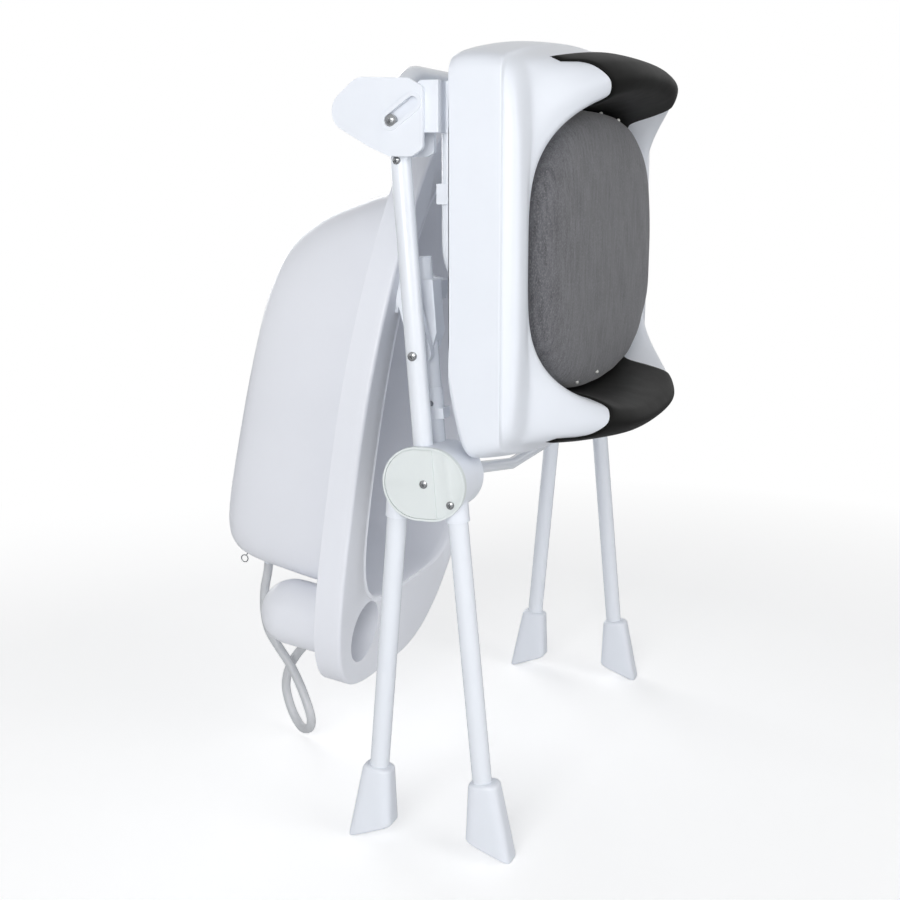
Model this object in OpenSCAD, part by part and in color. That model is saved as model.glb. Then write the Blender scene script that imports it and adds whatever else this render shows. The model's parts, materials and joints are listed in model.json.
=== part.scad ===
// Baby bathtub on a folding stand with a changing table, shown folded.
// X runs across the fold: the tub hangs on the left and the table on the right. Y runs along the
// hub axis with the near side at -Y, and Z is up. The origin is on the floor under the middle.

/* [Frame] */
// Distance from the middle of the stand to the axis of each side tube
half_track = 340; // [330:1:360]
// Height of the hub axis above the floor
hub_height = 484; // [470:1:520]
// Outside diameter of the frame tubes
tube_d = 25; // [23:0.5:26]
// Wall of the tubes
tube_wall = 1.2; // [1:0.1:2]
// Length of an outer arm from the hub axis to the crossbar
arm_length = 486; // [480:1:500]
// Radius of the bends between the arms and the crossbar
bend_radius = 72; // [60:1:80]
// Lean of the outer arms from upright
arm_lean = 4.6; // [4:0.1:5]
// Lean of the outer legs from upright
outer_leg_lean = 5.6; // [5:0.1:6]
// Lean of the inner legs from upright
inner_leg_lean = 4.7; // [4.2:0.1:5.2]
// Outside diameter of the inner arms
inner_arm_d = 22; // [20:0.5:23]
// Height of an inner arm's top above the hub axis, along the arm
inner_arm_length = 269; // [262:1:280]

/* [Hubs] */
// Radius of the round ends of a hub
hub_r = 45.5; // [44:0.5:48]
// Extra width of a hub between its round ends
hub_stretch = 16; // [12:1:20]
// Thickness of an outer hub
hub_depth = 31; // [30:0.5:32]
// Thickness of an inner hub
inner_hub_depth = 37.5; // [36:0.5:38]
// Thickness of a hub cover
cover_depth = 7; // [6:0.5:9]
// Diameter of the bolt that the frame folds on
hub_bolt_d = 8; // [6:0.5:10]

/* [Feet] */
// Reach of each foot's toe from the middle of the stand
foot_reach = 113; // [110:1:120]
// Height of a foot
foot_height = 105.5; // [98:0.5:112]
// Width of a foot across its tube
foot_width = 38; // [34:1:42]
// Slope of the soles, which lie flat when the stand is open
sole_slope = 21; // [18:0.5:23]

/* [Wings] */
// Length of the plate that guides the table's pin
wing_length = 115; // [112:1:125]
// Height of that plate
wing_height = 91; // [86:1:96]
// Thickness of the front plate
wing_depth = 6; // [5:0.5:8]
// Width of its slot
slot_width = 14; // [12:0.5:16]
// Travel of the table's pin along the slot
slot_travel = 34; // [24:1:36]
// Slope of the slot
slot_slope = 35.5; // [30:0.5:40]

/* [Changing table] */
// Width of the table along the hub axis
table_width = 700; // [690:1:720]
// Length of the table at its sides
table_length = 474; // [456:1:486]
// How far each end bulges out in the middle
end_bulge = 36; // [26:1:42]
// Height of the side rims over the base
rim_rise = 84.5; // [80:0.5:90]
// Extra height of the upper grip over the side rims
grip_rise = 86; // [76:1:96]
// Extra height of the lower grip over the side rims
lower_grip_rise = 96; // [86:1:106]
// Wall of the table shell
table_wall = 3; // [2.5:0.1:4]
// Thickness of the rubber grips
grip_depth = 2.6; // [2:0.1:3.5]
// Height of the pad's crown over its seat
pad_height = 52; // [46:1:56]
// Diameter of the rail under the table
rail_d = 16; // [14:0.5:17]

/* [Tub] */
// Length of the tub over its rim
tub_length = 830; // [810:5:850]
// Width of the tub over its rim
tub_width = 508; // [496:2:516]
// Depth of the tub under its rim
tub_depth = 250; // [236:1:262]
// Wall of the tub
tub_wall = 3; // [2.5:0.1:4]
// Depth of the skirt that hangs from the rim
skirt_depth = 40; // [34:1:44]
// Tilt of the hanging tub from upright
tub_tilt = 8.4; // [7.5:0.1:9]
// Diameter of the cup recess in the rim
cup_d = 90; // [84:1:94]
// Depth of the cup recess
cup_depth = 159; // [140:1:165]
// Diameter of the drain hose
hose_d = 14; // [12:0.5:15]

/* [Hidden] */
// Sides of a round shape, and the least radius of a bend that takes more steps than that
round_sides = 64;
$fn = round_sides;
bend_step = 2;
white = "#EEF1F7";
cover_white = "#E3E8E8";
tub_white = "#DFE2EA";
rubber = "#262624";
pad_grey = "#6A6A6C";
chrome = "#9A9C9E";
hose_grey = "#C9CBCE";

// Overrun of every cut past the faces that it goes through
cut = 1;
// Radial clearance of a tube or a pin in what holds it, and of what turns on a pin
fit = 0.05;
// Gap between faces that pass each other
gap = 0.5;
// Steps of a rounded corner and of a half circle in an outline
corner_steps = 6;
arc_steps = round_sides / 2;

// Place of the hub axis across the fold
hub_x = 98.4;
// Places of the tubes at the hub's height, across the fold
arm_offset = -5;
outer_leg_offset = 32;
inner_leg_offset = 40;
inner_arm_shift = 2;

// Layers along the hub axis, from the middle outwards
hub_face = half_track - tube_d / 2 - 2.5 * tube_wall + gap;
cover_face = hub_face + hub_depth;
cover_front = cover_face + cover_depth;
inner_hub_back = hub_face - gap - inner_hub_depth;
inner_hub_front = hub_face - gap;
hanger_depth = 11.5;
hanger_front = half_track - tube_d / 2 - 4 * gap;
hanger_back = hanger_front - hanger_depth;
inner_track = hanger_back - 5 * gap - inner_arm_d / 2 - gap;
arm_plate_depth = 3;
arm_plate_back = half_track + tube_d / 2 + 2 * gap;
wing_face = arm_plate_back + arm_plate_depth + gap;

// Heights on the outer arm of the pins and screws, from the hub axis
arm_seat = 20;
pivot_height = 154.5;
pin_height = 430.4;
stop_height = 385;

// Rounded outlines: each corner is an arc that meets both sides
function unit(v) = v / norm(v);
function turned(v, a) = [v[0] * cos(a) - v[1] * sin(a), v[0] * sin(a) + v[1] * cos(a)];
function left_normal(p, q) = turned(unit(q - p), 90);
function corner(p, i, r) =
    let (n = len(p), a = left_normal(p[(i + n - 1) % n], p[i]), b = left_normal(p[i], p[(i + 1) % n]))
    let (bend = atan2(a[0] * b[1] - a[1] * b[0], a * b), side = sign(bend))
    let (centre = p[i] + side * r * (a + b) / (1 + a * b))
    [for (k = [0:corner_steps]) centre - side * r * turned(a, bend * k / corner_steps)];
function rounded(p, r) =
    [for (i = [0:len(p) - 1]) each corner(p, i, is_list(r) ? r[i] : r)];
function arc(c, r, from, to) =
    [for (k = [0:arc_steps]) let (a = from + (to - from) * k / arc_steps) c + r * [cos(a), sin(a)]];
function stadium(a, b, r) =
    let (d = b - a, turn = atan2(d[1], d[0]))
    concat(arc(b, r, turn - 90, turn + 90), arc(a, r, turn + 90, turn + 270));
function scaled(shares, w, h) = [for (s = shares) [s[0] * w, s[1] * h]];

// Frames that the pieces are drawn in
module on_side(s) {
    if (s < 0) mirror([0, 1, 0]) children();
    else children();
}
module both_sides() {
    for (s = [-1, 1]) on_side(s) children();
}
module hub_place() {
    translate([hub_x, 0, hub_height]) children();
}
module arm_place() {
    hub_place() translate([arm_offset, 0, 0]) rotate([0, -arm_lean, 0]) children();
}
module outer_leg_place() {
    hub_place() translate([outer_leg_offset, half_track, 0]) rotate([0, -outer_leg_lean, 0]) children();
}
module inner_leg_place() {
    hub_place() translate([-inner_leg_offset, half_track, 0]) rotate([0, inner_leg_lean, 0]) children();
}
// A plate between two layers, with its outline given across the fold and upwards
module plate(from, to) {
    translate([0, to, 0]) rotate([90, 0, 0]) linear_extrude(height = to - from) children();
}
// A round bar along the hub axis
module bar(from, to, d, x = 0, z = 0) {
    translate([x, from, z]) rotate([-90, 0, 0]) cylinder(d = d, h = to - from);
}
function on_arm(h) = [arm_offset - h * sin(arm_lean), h * cos(arm_lean)];

// Closed skin through rings of equal count, with a middle point at each end
function skin_faces(rings, n) = concat(
    [for (j = [0:n - 1]) [0, 1 + j, 1 + (j + 1) % n]],
    [for (i = [0:rings - 2], j = [0:n - 1])
        let (a = 1 + i * n + j, b = 1 + i * n + (j + 1) % n)
        each [[a, a + n, b + n], [a, b + n, b]]],
    [for (j = [0:n - 1])
        let (last = 1 + (rings - 1) * n)
        [last + n, last + (j + 1) % n, last + j]]);
module skin(start, rings, finish) {
    polyhedron(
        points = concat([start], [for (ring = rings) each ring], [finish]),
        faces = skin_faces(len(rings), len(rings[0])));
}
// Closed patch between an outer and an inner grid of points
function grid_faces(m, n, base, flip) =
    [for (i = [0:m - 2], j = [0:n - 2])
        let (a = base + i * n + j, b = a + 1, c = a + n, d = c + 1)
        each (flip ? [[a, b, d], [a, d, c]] : [[a, d, b], [a, c, d]])];
function border(m, n) = concat(
    [for (j = [0:n - 1]) j],
    [for (i = [1:m - 1]) i * n + n - 1],
    [for (j = [n - 2:-1:0]) (m - 1) * n + j],
    [for (i = [m - 2:-1:1]) i * n]);
module patch(outer, inner) {
    m = len(outer);
    n = len(outer[0]);
    edge = border(m, n);
    count = len(edge);
    polyhedron(
        points = concat([for (row = outer) each row], [for (row = inner) each row]),
        faces = concat(
            grid_faces(m, n, 0, true),
            grid_faces(m, n, m * n, false),
            [for (k = [0:count - 1])
                let (a = edge[k], b = edge[(k + 1) % count])
                each [[a, a + m * n, b + m * n], [a, b + m * n, b]]]));
}

// Round tube of straight runs and bends: each step is a length, a bend radius and a bend angle
module run(steps, d, i = 0) {
    if (i < len(steps)) {
        length = steps[i][0];
        radius = steps[i][1];
        angle = steps[i][2];
        side = angle < 0 ? -1 : 1;
        if (length > 0) rotate([0, 0, 180]) cylinder(d = d, h = length);
        translate([0, 0, length]) {
            if (angle != 0) {
                translate([side * radius, 0, 0])
                    rotate([90, 0, 0])
                    rotate([0, 0, side > 0 ? 180 - abs(angle) : 0])
                    rotate_extrude(angle = abs(angle), $fn = max(round_sides, radius / bend_step))
                    translate([radius, 0])
                    rotate(side > 0 ? 0 : 180)
                    circle(d = d, $fn = round_sides);
            }
            translate([side * radius * (1 - cos(angle)), 0, radius * sin(abs(angle))])
                rotate([0, angle, 0])
                run(steps, d, i + 1);
        }
    }
}
module screw(at, head_d, head_depth, shank_d, shank_depth) {
    bar(at - cut, at + head_depth, head_d);
    bar(at - shank_depth, at, shank_d);
}

// Outer frame: one bent tube, and the two legs that open away from it
module frame_run(d, extra) {
    both_sides()
        translate([0, half_track, arm_seat - extra])
        rotate([0, 0, -90])
        run([
            [arm_length - bend_radius - arm_seat + extra, bend_radius, 90],
            [half_track - bend_radius, 0, 0],
        ], d);
}
pivot_pin_d = 6;
stop_screw_d = 5;
module outer_frame_tube() {
    color(white) arm_place() difference() {
        frame_run(tube_d, 0);
        frame_run(tube_d - 2 * tube_wall, cut);
        both_sides() {
            bar(half_track - tube_d, half_track + tube_d, pivot_pin_d + 2 * fit, 0, pivot_height);
            bar(half_track, half_track + tube_d, stop_screw_d + 2 * fit, 0, stop_height);
        }
    }
}
module leg_tube(from, to) {
    translate([0, 0, from]) difference() {
        cylinder(d = tube_d, h = to - from);
        translate([0, 0, -cut]) cylinder(d = tube_d - 2 * tube_wall, h = to - from + 2 * cut);
    }
}
outer_leg_top = 14;
inner_leg_top = -9;
foot_socket_floor = 45;
function leg_bottom(lean) = -(hub_height - foot_socket_floor) / cos(lean);
module outer_leg(s) {
    color(white) on_side(s) outer_leg_place() leg_tube(leg_bottom(outer_leg_lean), outer_leg_top);
}
module inner_leg(s) {
    color(white) on_side(s) inner_leg_place() leg_tube(leg_bottom(inner_leg_lean), inner_leg_top);
}

// Feet: a slanting sole, a blunt toe and a socket for the leg
foot_top_reach = 91.5;
foot_heel_reach = 51;
foot_back_reach = 53;
foot_shoulder_drop = 4;
foot_toe_r = 3;
foot_corner_r = 7;
foot_bevel = 2.5;
function foot_points(inset) =
    let (heel_z = (foot_reach - foot_heel_reach) * tan(sole_slope))
    rounded([
        [foot_reach - inset, inset * sin(sole_slope)],
        [foot_top_reach - inset, foot_height - inset],
        [foot_back_reach + inset, foot_height - foot_shoulder_drop - inset],
        [foot_heel_reach + inset, heel_z + inset],
    ], [foot_toe_r, foot_corner_r, foot_corner_r, foot_corner_r]);
foot_drop = min([for (p = foot_points(0)) p[1]]);
function foot_outline(inset) = [for (p = foot_points(inset)) p - [0, foot_drop]];
module foot_body() {
    plate(half_track - foot_width / 2 + foot_bevel, half_track + foot_width / 2 - foot_bevel)
        polygon(foot_outline(0));
    plate(half_track - foot_width / 2, half_track + foot_width / 2)
        polygon(foot_outline(foot_bevel));
}
module outer_foot(s) {
    color(white) on_side(s) difference() {
        translate([hub_x, 0, 0]) foot_body();
        outer_leg_place() translate([0, 0, leg_bottom(outer_leg_lean)])
            cylinder(d = tube_d + 2 * fit, h = foot_height);
    }
}
module inner_foot(s) {
    color(white) on_side(s) difference() {
        translate([hub_x, 0, 0]) mirror([1, 0, 0]) foot_body();
        inner_leg_place() translate([0, 0, leg_bottom(inner_leg_lean)])
            cylinder(d = tube_d + 2 * fit, h = foot_height);
    }
}

// Outer hubs hold the arm and the outer leg, and leave the lower left free for the inner leg
hub_boss_d = 44;
hub_socket_d = 29.5;
hub_socket_length = 48;
hub_free_from = 110;
hub_free_to = 280;
hub_screw_height = -23.5;
function hub_outline(r) =
    stadium([-hub_stretch / 2, 0], [hub_stretch / 2, 0], r);
module hub_body(s) {
    far = 3 * hub_r;
    color(white) on_side(s) difference() {
        union() {
            hub_place() intersection() {
                plate(hub_face, cover_face) polygon(hub_outline(hub_r - fit));
                plate(hub_face, cover_face) polygon([
                    [0, 0],
                    far * [cos(hub_free_to), sin(hub_free_to)],
                    [far, -far],
                    [far, far],
                    far * [cos(hub_free_from), sin(hub_free_from)],
                ]);
            }
            hub_place() bar(hub_face, cover_face, hub_boss_d);
            intersection() {
                outer_leg_place() translate([0, 0, -hub_socket_length])
                    cylinder(d = hub_socket_d, h = hub_socket_length);
                hub_place() translate([-far, hub_face, -far]) cube([2 * far, hub_depth, 2 * far]);
            }
        }
        hub_place() bar(hub_face - cut, cover_face + cut, hub_bolt_d + 2 * fit);
        arm_place() translate([0, half_track, arm_seat])
            cylinder(d = tube_d + 2 * fit, h = hub_r);
        outer_leg_place() translate([0, 0, outer_leg_top - 2 * hub_r])
            cylinder(d = tube_d + 2 * fit, h = 2 * hub_r);
    }
}

// Hub covers: a rim round a plateau over the arm, and a lower panel with the leg's bulge
cover_rim = 2.5;
cover_step = 2;
cover_groove = 1;
plateau_edge = 19;
bolt_head_d = 10.5;
hub_screw_head_d = 10;
hub_screw_shank_d = 5;
module hub_cover(s) {
    color(cover_white) on_side(s) difference() {
        union() {
            hub_place() {
                plate(cover_face, cover_front - cover_step) polygon(hub_outline(hub_r));
                difference() {
                    plate(cover_face, cover_front) polygon(hub_outline(hub_r));
                    plate(cover_face - cut, cover_front + cut)
                        polygon(hub_outline(hub_r - cover_rim));
                }
            }
            intersection() {
                hub_place() plate(cover_face, cover_front - cover_groove / 4)
                    polygon(hub_outline(hub_r - cover_rim - cover_groove));
                arm_place() plate(cover_face, cover_front)
                    translate([plateau_edge - 4 * hub_r, -2 * hub_r]) square(4 * hub_r);
            }
            intersection() {
                hub_place() plate(cover_face, cover_front)
                    polygon(hub_outline(hub_r - cover_rim - cover_groove));
                outer_leg_place() translate([0, cover_depth, -2 * hub_r])
                    cylinder(d = hub_socket_d, h = 4 * hub_r);
            }
        }
        hub_place() {
            bar(cover_front - cover_depth / 2, cover_front + cut, bolt_head_d + 2 * fit);
            bar(cover_face - cut, cover_front, hub_bolt_d + 2 * fit);
        }
        outer_leg_place() translate([0, -half_track, hub_screw_height]) {
            bar(cover_front - cover_depth / 2, cover_front + cut, hub_screw_head_d + 2 * fit);
            bar(cover_face - cut, cover_front, hub_screw_shank_d + 2 * fit);
        }
    }
}
hub_nut_depth = 6;
hub_nut_d = 15;
module hub_bolt(s) {
    color(chrome) on_side(s) hub_place() {
        bar(inner_hub_back - gap - hub_nut_depth, cover_front - cover_depth / 2, hub_bolt_d);
        bar(cover_front - cover_depth / 2, cover_front - cover_step / 2, bolt_head_d);
        translate([0, inner_hub_back - gap, 0]) rotate([90, 0, 0])
            cylinder(d = hub_nut_d, h = hub_nut_depth, $fn = 6);
    }
}
module hub_screws() {
    color(chrome) both_sides() outer_leg_place() translate([0, -half_track, hub_screw_height]) {
        bar(cover_front - cover_depth / 2, cover_front - cover_step / 2, hub_screw_head_d);
        bar(cover_face + fit, cover_front - cover_depth / 2, hub_screw_shank_d);
    }
}

// Inner hubs turn on the bolts, and hold the inner arm and the inner leg
inner_hub_r = 43;
inner_arm_seat = 16;
leg_block_top = 4;
leg_block_depth = 22;
module inner_hub(s) {
    left = inner_leg_offset + hub_socket_d / 2;
    color(white) on_side(s) difference() {
        union() {
            hub_place() {
                plate(inner_hub_back, inner_hub_front) polygon(hub_outline(inner_hub_r));
                translate([-left, half_track - leg_block_depth, -hub_socket_length])
                    cube([hub_socket_d, leg_block_depth, hub_socket_length - leg_block_top]);
                translate([-left, inner_hub_back, -hub_socket_length])
                    cube([hub_socket_d, inner_hub_depth, hub_socket_length - leg_block_top]);
            }
            inner_leg_place() translate([0, 0, -hub_socket_length])
                cylinder(d = hub_socket_d, h = hub_socket_length - leg_block_top);
        }
        hub_place() bar(inner_hub_back - cut, inner_hub_front + cut, hub_bolt_d + 2 * fit);
        inner_leg_place() translate([0, 0, inner_leg_top - 2 * hub_r])
            cylinder(d = tube_d + 2 * fit, h = 2 * hub_r);
        arm_place() translate([inner_arm_shift, inner_track, inner_arm_seat])
            cylinder(d = inner_arm_d + 2 * fit, h = hub_r);
    }
}
module inner_arm_place() {
    arm_place() translate([inner_arm_shift, inner_track, 0]) children();
}
button_d = 7;
button_travel = 3;
collar_height = 91;
module inner_arm(s) {
    length = inner_arm_length - inner_arm_seat;
    color(white) on_side(s) inner_arm_place() difference() {
        translate([0, 0, inner_arm_seat]) cylinder(d = inner_arm_d, h = length);
        translate([0, 0, inner_arm_seat - cut])
            cylinder(d = inner_arm_d - 2 * tube_wall, h = length + 2 * cut);
        bar(0, inner_arm_d, button_d + 4 * fit, 0, collar_height);
    }
}
cap_depth = 4;
module arm_cap(s) {
    color(white) on_side(s) inner_arm_place() translate([0, 0, inner_arm_length]) {
        cylinder(d = inner_arm_d, h = cap_depth / 2);
        translate([0, 0, -cap_depth]) cylinder(d = inner_arm_d - 2 * tube_wall - 2 * fit, h = cap_depth);
    }
}

// Arm bracket: a box round the inner arm that the open table rests on
bracket_bottom = 156;
bracket_top = 243;
bracket_left = 13;
bracket_right = 15;
bracket_bite = 22;
bracket_wall = 3;
bracket_r = 5;
module arm_bracket(s) {
    front = inner_arm_d / 2 + gap;
    color(white) on_side(s) inner_arm_place() difference() {
        plate(-front - bracket_r, front) polygon(rounded([
            [-bracket_left, bracket_bottom],
            [bracket_left / 2, bracket_bottom],
            [bracket_right, bracket_bottom + bracket_bite],
            [bracket_right, bracket_top],
            [-bracket_left, bracket_top],
        ], [bracket_r / 2, bracket_r, bracket_r, bracket_r / 2, bracket_r / 2]));
        translate([0, 0, bracket_bottom - cut])
            cylinder(d = inner_arm_d + 2 * fit, h = bracket_top - bracket_bottom + 2 * cut);
    }
}
collar_length = 39;
collar_wall = 1.5;
collar_lip = 9;
module arm_collar(s) {
    front = inner_arm_d / 2 + gap;
    color(white) on_side(s) inner_arm_place() difference() {
        union() {
            translate([0, 0, collar_height - collar_length / 2])
                cylinder(d = inner_arm_d + 2 * collar_wall, h = collar_length);
            translate([0, -inner_arm_d / 2 - collar_wall, collar_height - collar_length / 2])
                cube([inner_arm_d / 2 + collar_lip / 2, inner_arm_d + collar_wall, collar_length / 3]);
        }
        translate([0, 0, collar_height - collar_length])
            cylinder(d = inner_arm_d + 2 * fit, h = 2 * collar_length);
        translate([-inner_arm_d, front, collar_height - collar_length])
            cube([2 * inner_arm_d, inner_arm_d, 2 * collar_length]);
        bar(0, inner_arm_d, button_d + 4 * fit, 0, collar_height);
    }
}
button_foot = 1.2;
module collar_button(s) {
    face = inner_arm_d / 2 - tube_wall;
    color(chrome) on_side(s) inner_arm_place() {
        bar(face - button_travel, face + tube_wall + gap, button_d, 0, collar_height);
        bar(face - button_travel - button_foot, face - button_travel, button_d + 2 * gap, 0, collar_height);
    }
}

// Wings: two plates clamped on the arm, the front one with the slot that the table's pin rides in
wing_outline_shares = [
    [1, 0.1], [1, 0.86], [0.85, 0.97], [0.28, 1], [0, 0.7], [0, 0.42],
    [0.42, 0.12], [0.64, 0], [0.88, 0],
];
wing_back_shares = [
    [1, 0.05], [1, 0.3], [0.92, 0.58], [0.73, 0.8], [0.3, 0.9], [0.08, 0.72], [0.08, 0.45],
    [0.42, 0.1], [0.64, 0], [0.92, 0],
];
wing_corner_r = 8;
wing_tip_r = 24;
wing_corners = [
    wing_corner_r, wing_corner_r, wing_corner_r, wing_tip_r, wing_tip_r, wing_tip_r, wing_tip_r,
    wing_corner_r, wing_corner_r,
];
wing_left = 74.5;
wing_below = 41;
wing_post_d = 9;
wing_post_shares = [[0.2, 0.62], [0.32, 0.42], [0.38, 0.82]];
slot_band = 4.5;
slot_band_rise = 1.5;
stop_head_d = 9;
function pin_place() = on_arm(pin_height);
function slot_outline(r) =
    stadium(pin_place(), pin_place() + slot_travel * [cos(slot_slope), sin(slot_slope)], r);
module wing_at() {
    translate([pin_place()[0] - wing_left, 0, pin_place()[1] - wing_below]) children();
}
module wing_front(s) {
    saddle = tube_d + 4 * tube_wall;
    color(white) on_side(s) hub_place() difference() {
        union() {
            wing_at() plate(wing_face, wing_face + wing_depth)
                polygon(rounded(scaled(wing_outline_shares, wing_length, wing_height), wing_corners));
            plate(wing_face, wing_face + wing_depth + slot_band_rise)
                polygon(slot_outline(slot_width / 2 + slot_band));
            wing_at() for (p = scaled(wing_post_shares, wing_length, wing_height))
                bar(half_track + tube_d / 2 - tube_d + wing_post_d / 2, wing_face + cut, wing_post_d, p[0], p[1]);
            translate([on_arm(stop_height)[0] - saddle / 2, half_track, on_arm(stop_height)[1] + wing_corner_r])
                cube([saddle, wing_face - half_track + cut, wing_corner_r]);
        }
        plate(wing_face - cut, wing_face + 2 * wing_depth)
            polygon(slot_outline(slot_width / 2));
        translate([arm_offset, 0, 0]) rotate([0, -arm_lean, 0])
            translate([0, half_track, stop_height - tube_d])
            cylinder(d = tube_d + 2 * fit, h = 3 * tube_d);
        translate([arm_offset, 0, 0]) rotate([0, -arm_lean, 0])
            bar(half_track, wing_face + 2 * wing_depth, stop_head_d + 2 * gap, 0, stop_height);
    }
}
wing_back_depth = 7.5;
wing_step_share = 0.5;
wing_stop_share = 0.8;
module wing_back(s) {
    front = half_track - tube_d / 2 - fit;
    color(white) on_side(s) hub_place() difference() {
        wing_at() plate(front - wing_back_depth, front + wing_post_d / 2)
            polygon(rounded(scaled(wing_back_shares, wing_length, wing_height), wing_corner_r / 2));
        wing_at() translate([-cut, front, -cut])
            cube([wing_length * wing_step_share, wing_post_d, wing_height + 2 * cut]);
        translate([arm_offset, 0, 0]) rotate([0, -arm_lean, 0]) frame_run(tube_d + 2 * fit, cut);
        wing_at() translate([wing_length * wing_stop_share, front, -cut])
            cube([wing_length, wing_post_d, wing_height + 2 * cut]);
    }
}
stop_head_depth = 2.2;
module stop_screws() {
    at = half_track + tube_d / 2;
    color(chrome) both_sides() arm_place() translate([0, 0, stop_height]) difference() {
        screw(at, stop_head_d, stop_head_depth, stop_screw_d, tube_d / 2);
        translate([0, half_track, -tube_d])
            difference() {
                cylinder(d = tube_d + 2 * fit, h = 2 * tube_d);
                translate([0, 0, tube_d]) rotate([-90, 0, 0]) cylinder(d = stop_screw_d, h = tube_d);
            }
    }
}

// Pins that the table turns on: a journal in its arm and a slider in the wing's slot
journal_d = 10;
pin_flange_d = 13;
module table_pin(s) {
    p = pin_place();
    color(chrome) on_side(s) hub_place() {
        bar(arm_plate_back - gap / 2, wing_face + gap, journal_d, p[0], p[1]);
        bar(half_track + tube_d / 2 + gap / 2, arm_plate_back - gap / 2, pin_flange_d, p[0], p[1]);
        bar(wing_face - gap / 2, wing_face + wing_depth - gap, slot_width - 2 * fit, p[0], p[1]);
    }
}

// Table arms: a flat lug on the pin, a step past the wing and a sleeve on the rail
rail_x = 17.5;
rail_track = 322;
rail_waist = 265;
rail_top = 461;
sleeve_wall = 2;
arm_lug_r = 11.5;
arm_below = 14;
arm_above = 45;
arm_block_left = 4;
arm_block_back = 8;
module table_arm(s) {
    p = pin_place();
    sleeve_d = rail_d + 2 * sleeve_wall;
    block_right = rail_x;
    height = arm_below + arm_above;
    color(white) on_side(s) hub_place() difference() {
        union() {
            plate(arm_plate_back, arm_plate_back + arm_plate_depth) polygon(rounded([
                p + [-arm_lug_r, -arm_lug_r],
                p + [arm_lug_r, -arm_lug_r],
                [-arm_block_left, p[1] - arm_below],
                [block_right, p[1] - arm_below],
                [block_right, p[1] + arm_above],
                [-arm_block_left, p[1] + arm_above],
                p + [-arm_lug_r, arm_lug_r],
            ], [arm_lug_r - cut, cut, cut, cut, cut, cut, arm_lug_r - cut]));
            translate([arm_block_left, rail_track + arm_block_back, p[1] - arm_below])
                cube([block_right - arm_block_left,
                    arm_plate_back + arm_plate_depth - rail_track - arm_block_back, height]);
            translate([rail_x - sleeve_d / 2, rail_track, p[1] - arm_below])
                cube([sleeve_d / 2, sleeve_d / 2 + sleeve_wall, height]);
            translate([rail_x, rail_track, p[1] - arm_below]) cylinder(d = sleeve_d, h = height);
        }
        bar(arm_plate_back - cut, wing_face + cut, journal_d + 2 * fit, p[0], p[1]);
        translate([rail_x, rail_track, 0])
            cylinder(d = rail_d + 2 * fit, h = rail_top + gap);
    }
}

// Rail under the table: it drops inside the stand, narrows and bows under the table's lower edge
rail_shift_r = 45;
rail_shift_angle = 50;
rail_shift_start = 291;
rail_corner_in = 45;
rail_bow_low = -32;
rail_bow = 26;
bow_half = rail_waist - rail_corner_in;
bow_r = (bow_half * bow_half + rail_bow * rail_bow) / (2 * rail_bow);
bow_angle = asin(bow_half / bow_r);
corner_angle = 90 - bow_angle;
corner_r = rail_corner_in / (1 - cos(corner_angle));
shift_straight = (rail_track - rail_waist - 2 * rail_shift_r * (1 - cos(rail_shift_angle)))
    / sin(rail_shift_angle);
shift_drop = 2 * rail_shift_r * sin(rail_shift_angle) + shift_straight * cos(rail_shift_angle);
corner_start = rail_bow_low + rail_bow + corner_r * sin(corner_angle);
rail_turn = 10;
rail_sides = 16;
// Points of a line of straight runs and bends, each step a length, a bend radius and an angle
function walk(steps, p, a, i = 0) =
    i == len(steps) ? [] :
    let (q = p + steps[i][0] * [cos(a), sin(a)], turn = steps[i][2], out = [sin(a), -cos(a)] * sign(turn))
    let (n = ceil(abs(turn) / rail_turn), centre = q - steps[i][1] * out)
    let (bend = [for (k = [1:1:n]) centre + steps[i][1] * turned(out, turn * k / n)])
    concat(steps[i][0] > 0 ? [q] : [], bend, walk(steps, n > 0 ? bend[n - 1] : q, a + turn, i + 1));
rail_waist_run = rail_shift_start - shift_drop - corner_start;
rail_line = concat([[rail_track, rail_top]], walk([
    [rail_top - rail_shift_start, rail_shift_r, -rail_shift_angle],
    [shift_straight, rail_shift_r, rail_shift_angle],
    [rail_waist_run, corner_r, -corner_angle],
    [0, bow_r, -2 * bow_angle],
    [0, corner_r, -corner_angle],
    [rail_waist_run, rail_shift_r, rail_shift_angle],
    [shift_straight, rail_shift_r, -rail_shift_angle],
    [rail_top - rail_shift_start, 0, 0],
], [rail_track, rail_top], -90));
function along(p, i) =
    i == 0 ? unit(p[1] - p[0]) : i == len(p) - 1 ? unit(p[i] - p[i - 1])
    : unit(unit(p[i + 1] - p[i]) + unit(p[i] - p[i - 1]));
function rail_rings(r) = [for (i = [0:len(rail_line) - 1])
    let (t = along(rail_line, i), side = [-t[1], t[0]])
    [for (k = [0:rail_sides - 1])
        let (a = 360 * k / rail_sides, p = rail_line[i] + r * cos(a) * side)
        [r * sin(a), p[0], p[1]]]];
module pipe(outer, inner) {
    m = len(outer);
    n = len(outer[0]);
    polyhedron(
        points = concat([for (ring = outer) each ring], [for (ring = inner) each ring]),
        faces = concat(
            [for (i = [0:m - 2], j = [0:n - 1])
                let (a = i * n + j, b = i * n + (j + 1) % n)
                each [[a, b + n, a + n], [a, b, b + n]]],
            [for (i = [0:m - 2], j = [0:n - 1])
                let (a = (m + i) * n + j, b = (m + i) * n + (j + 1) % n)
                each [[a, a + n, b + n], [a, b + n, b]]],
            [for (end = [0, 1], j = [0:n - 1])
                let (first = end * (m - 1) * n, a = first + j, b = first + (j + 1) % n)
                each (end == 0 ? [[a, b + m * n, b], [a, a + m * n, b + m * n]]
                    : [[a, b, b + m * n], [a, b + m * n, a + m * n]])]));
}
module table_rail() {
    color(white) hub_place() translate([rail_x, 0, 0])
        pipe(rail_rings(rail_d / 2), rail_rings(rail_d / 2 - tube_wall));
}

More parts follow.
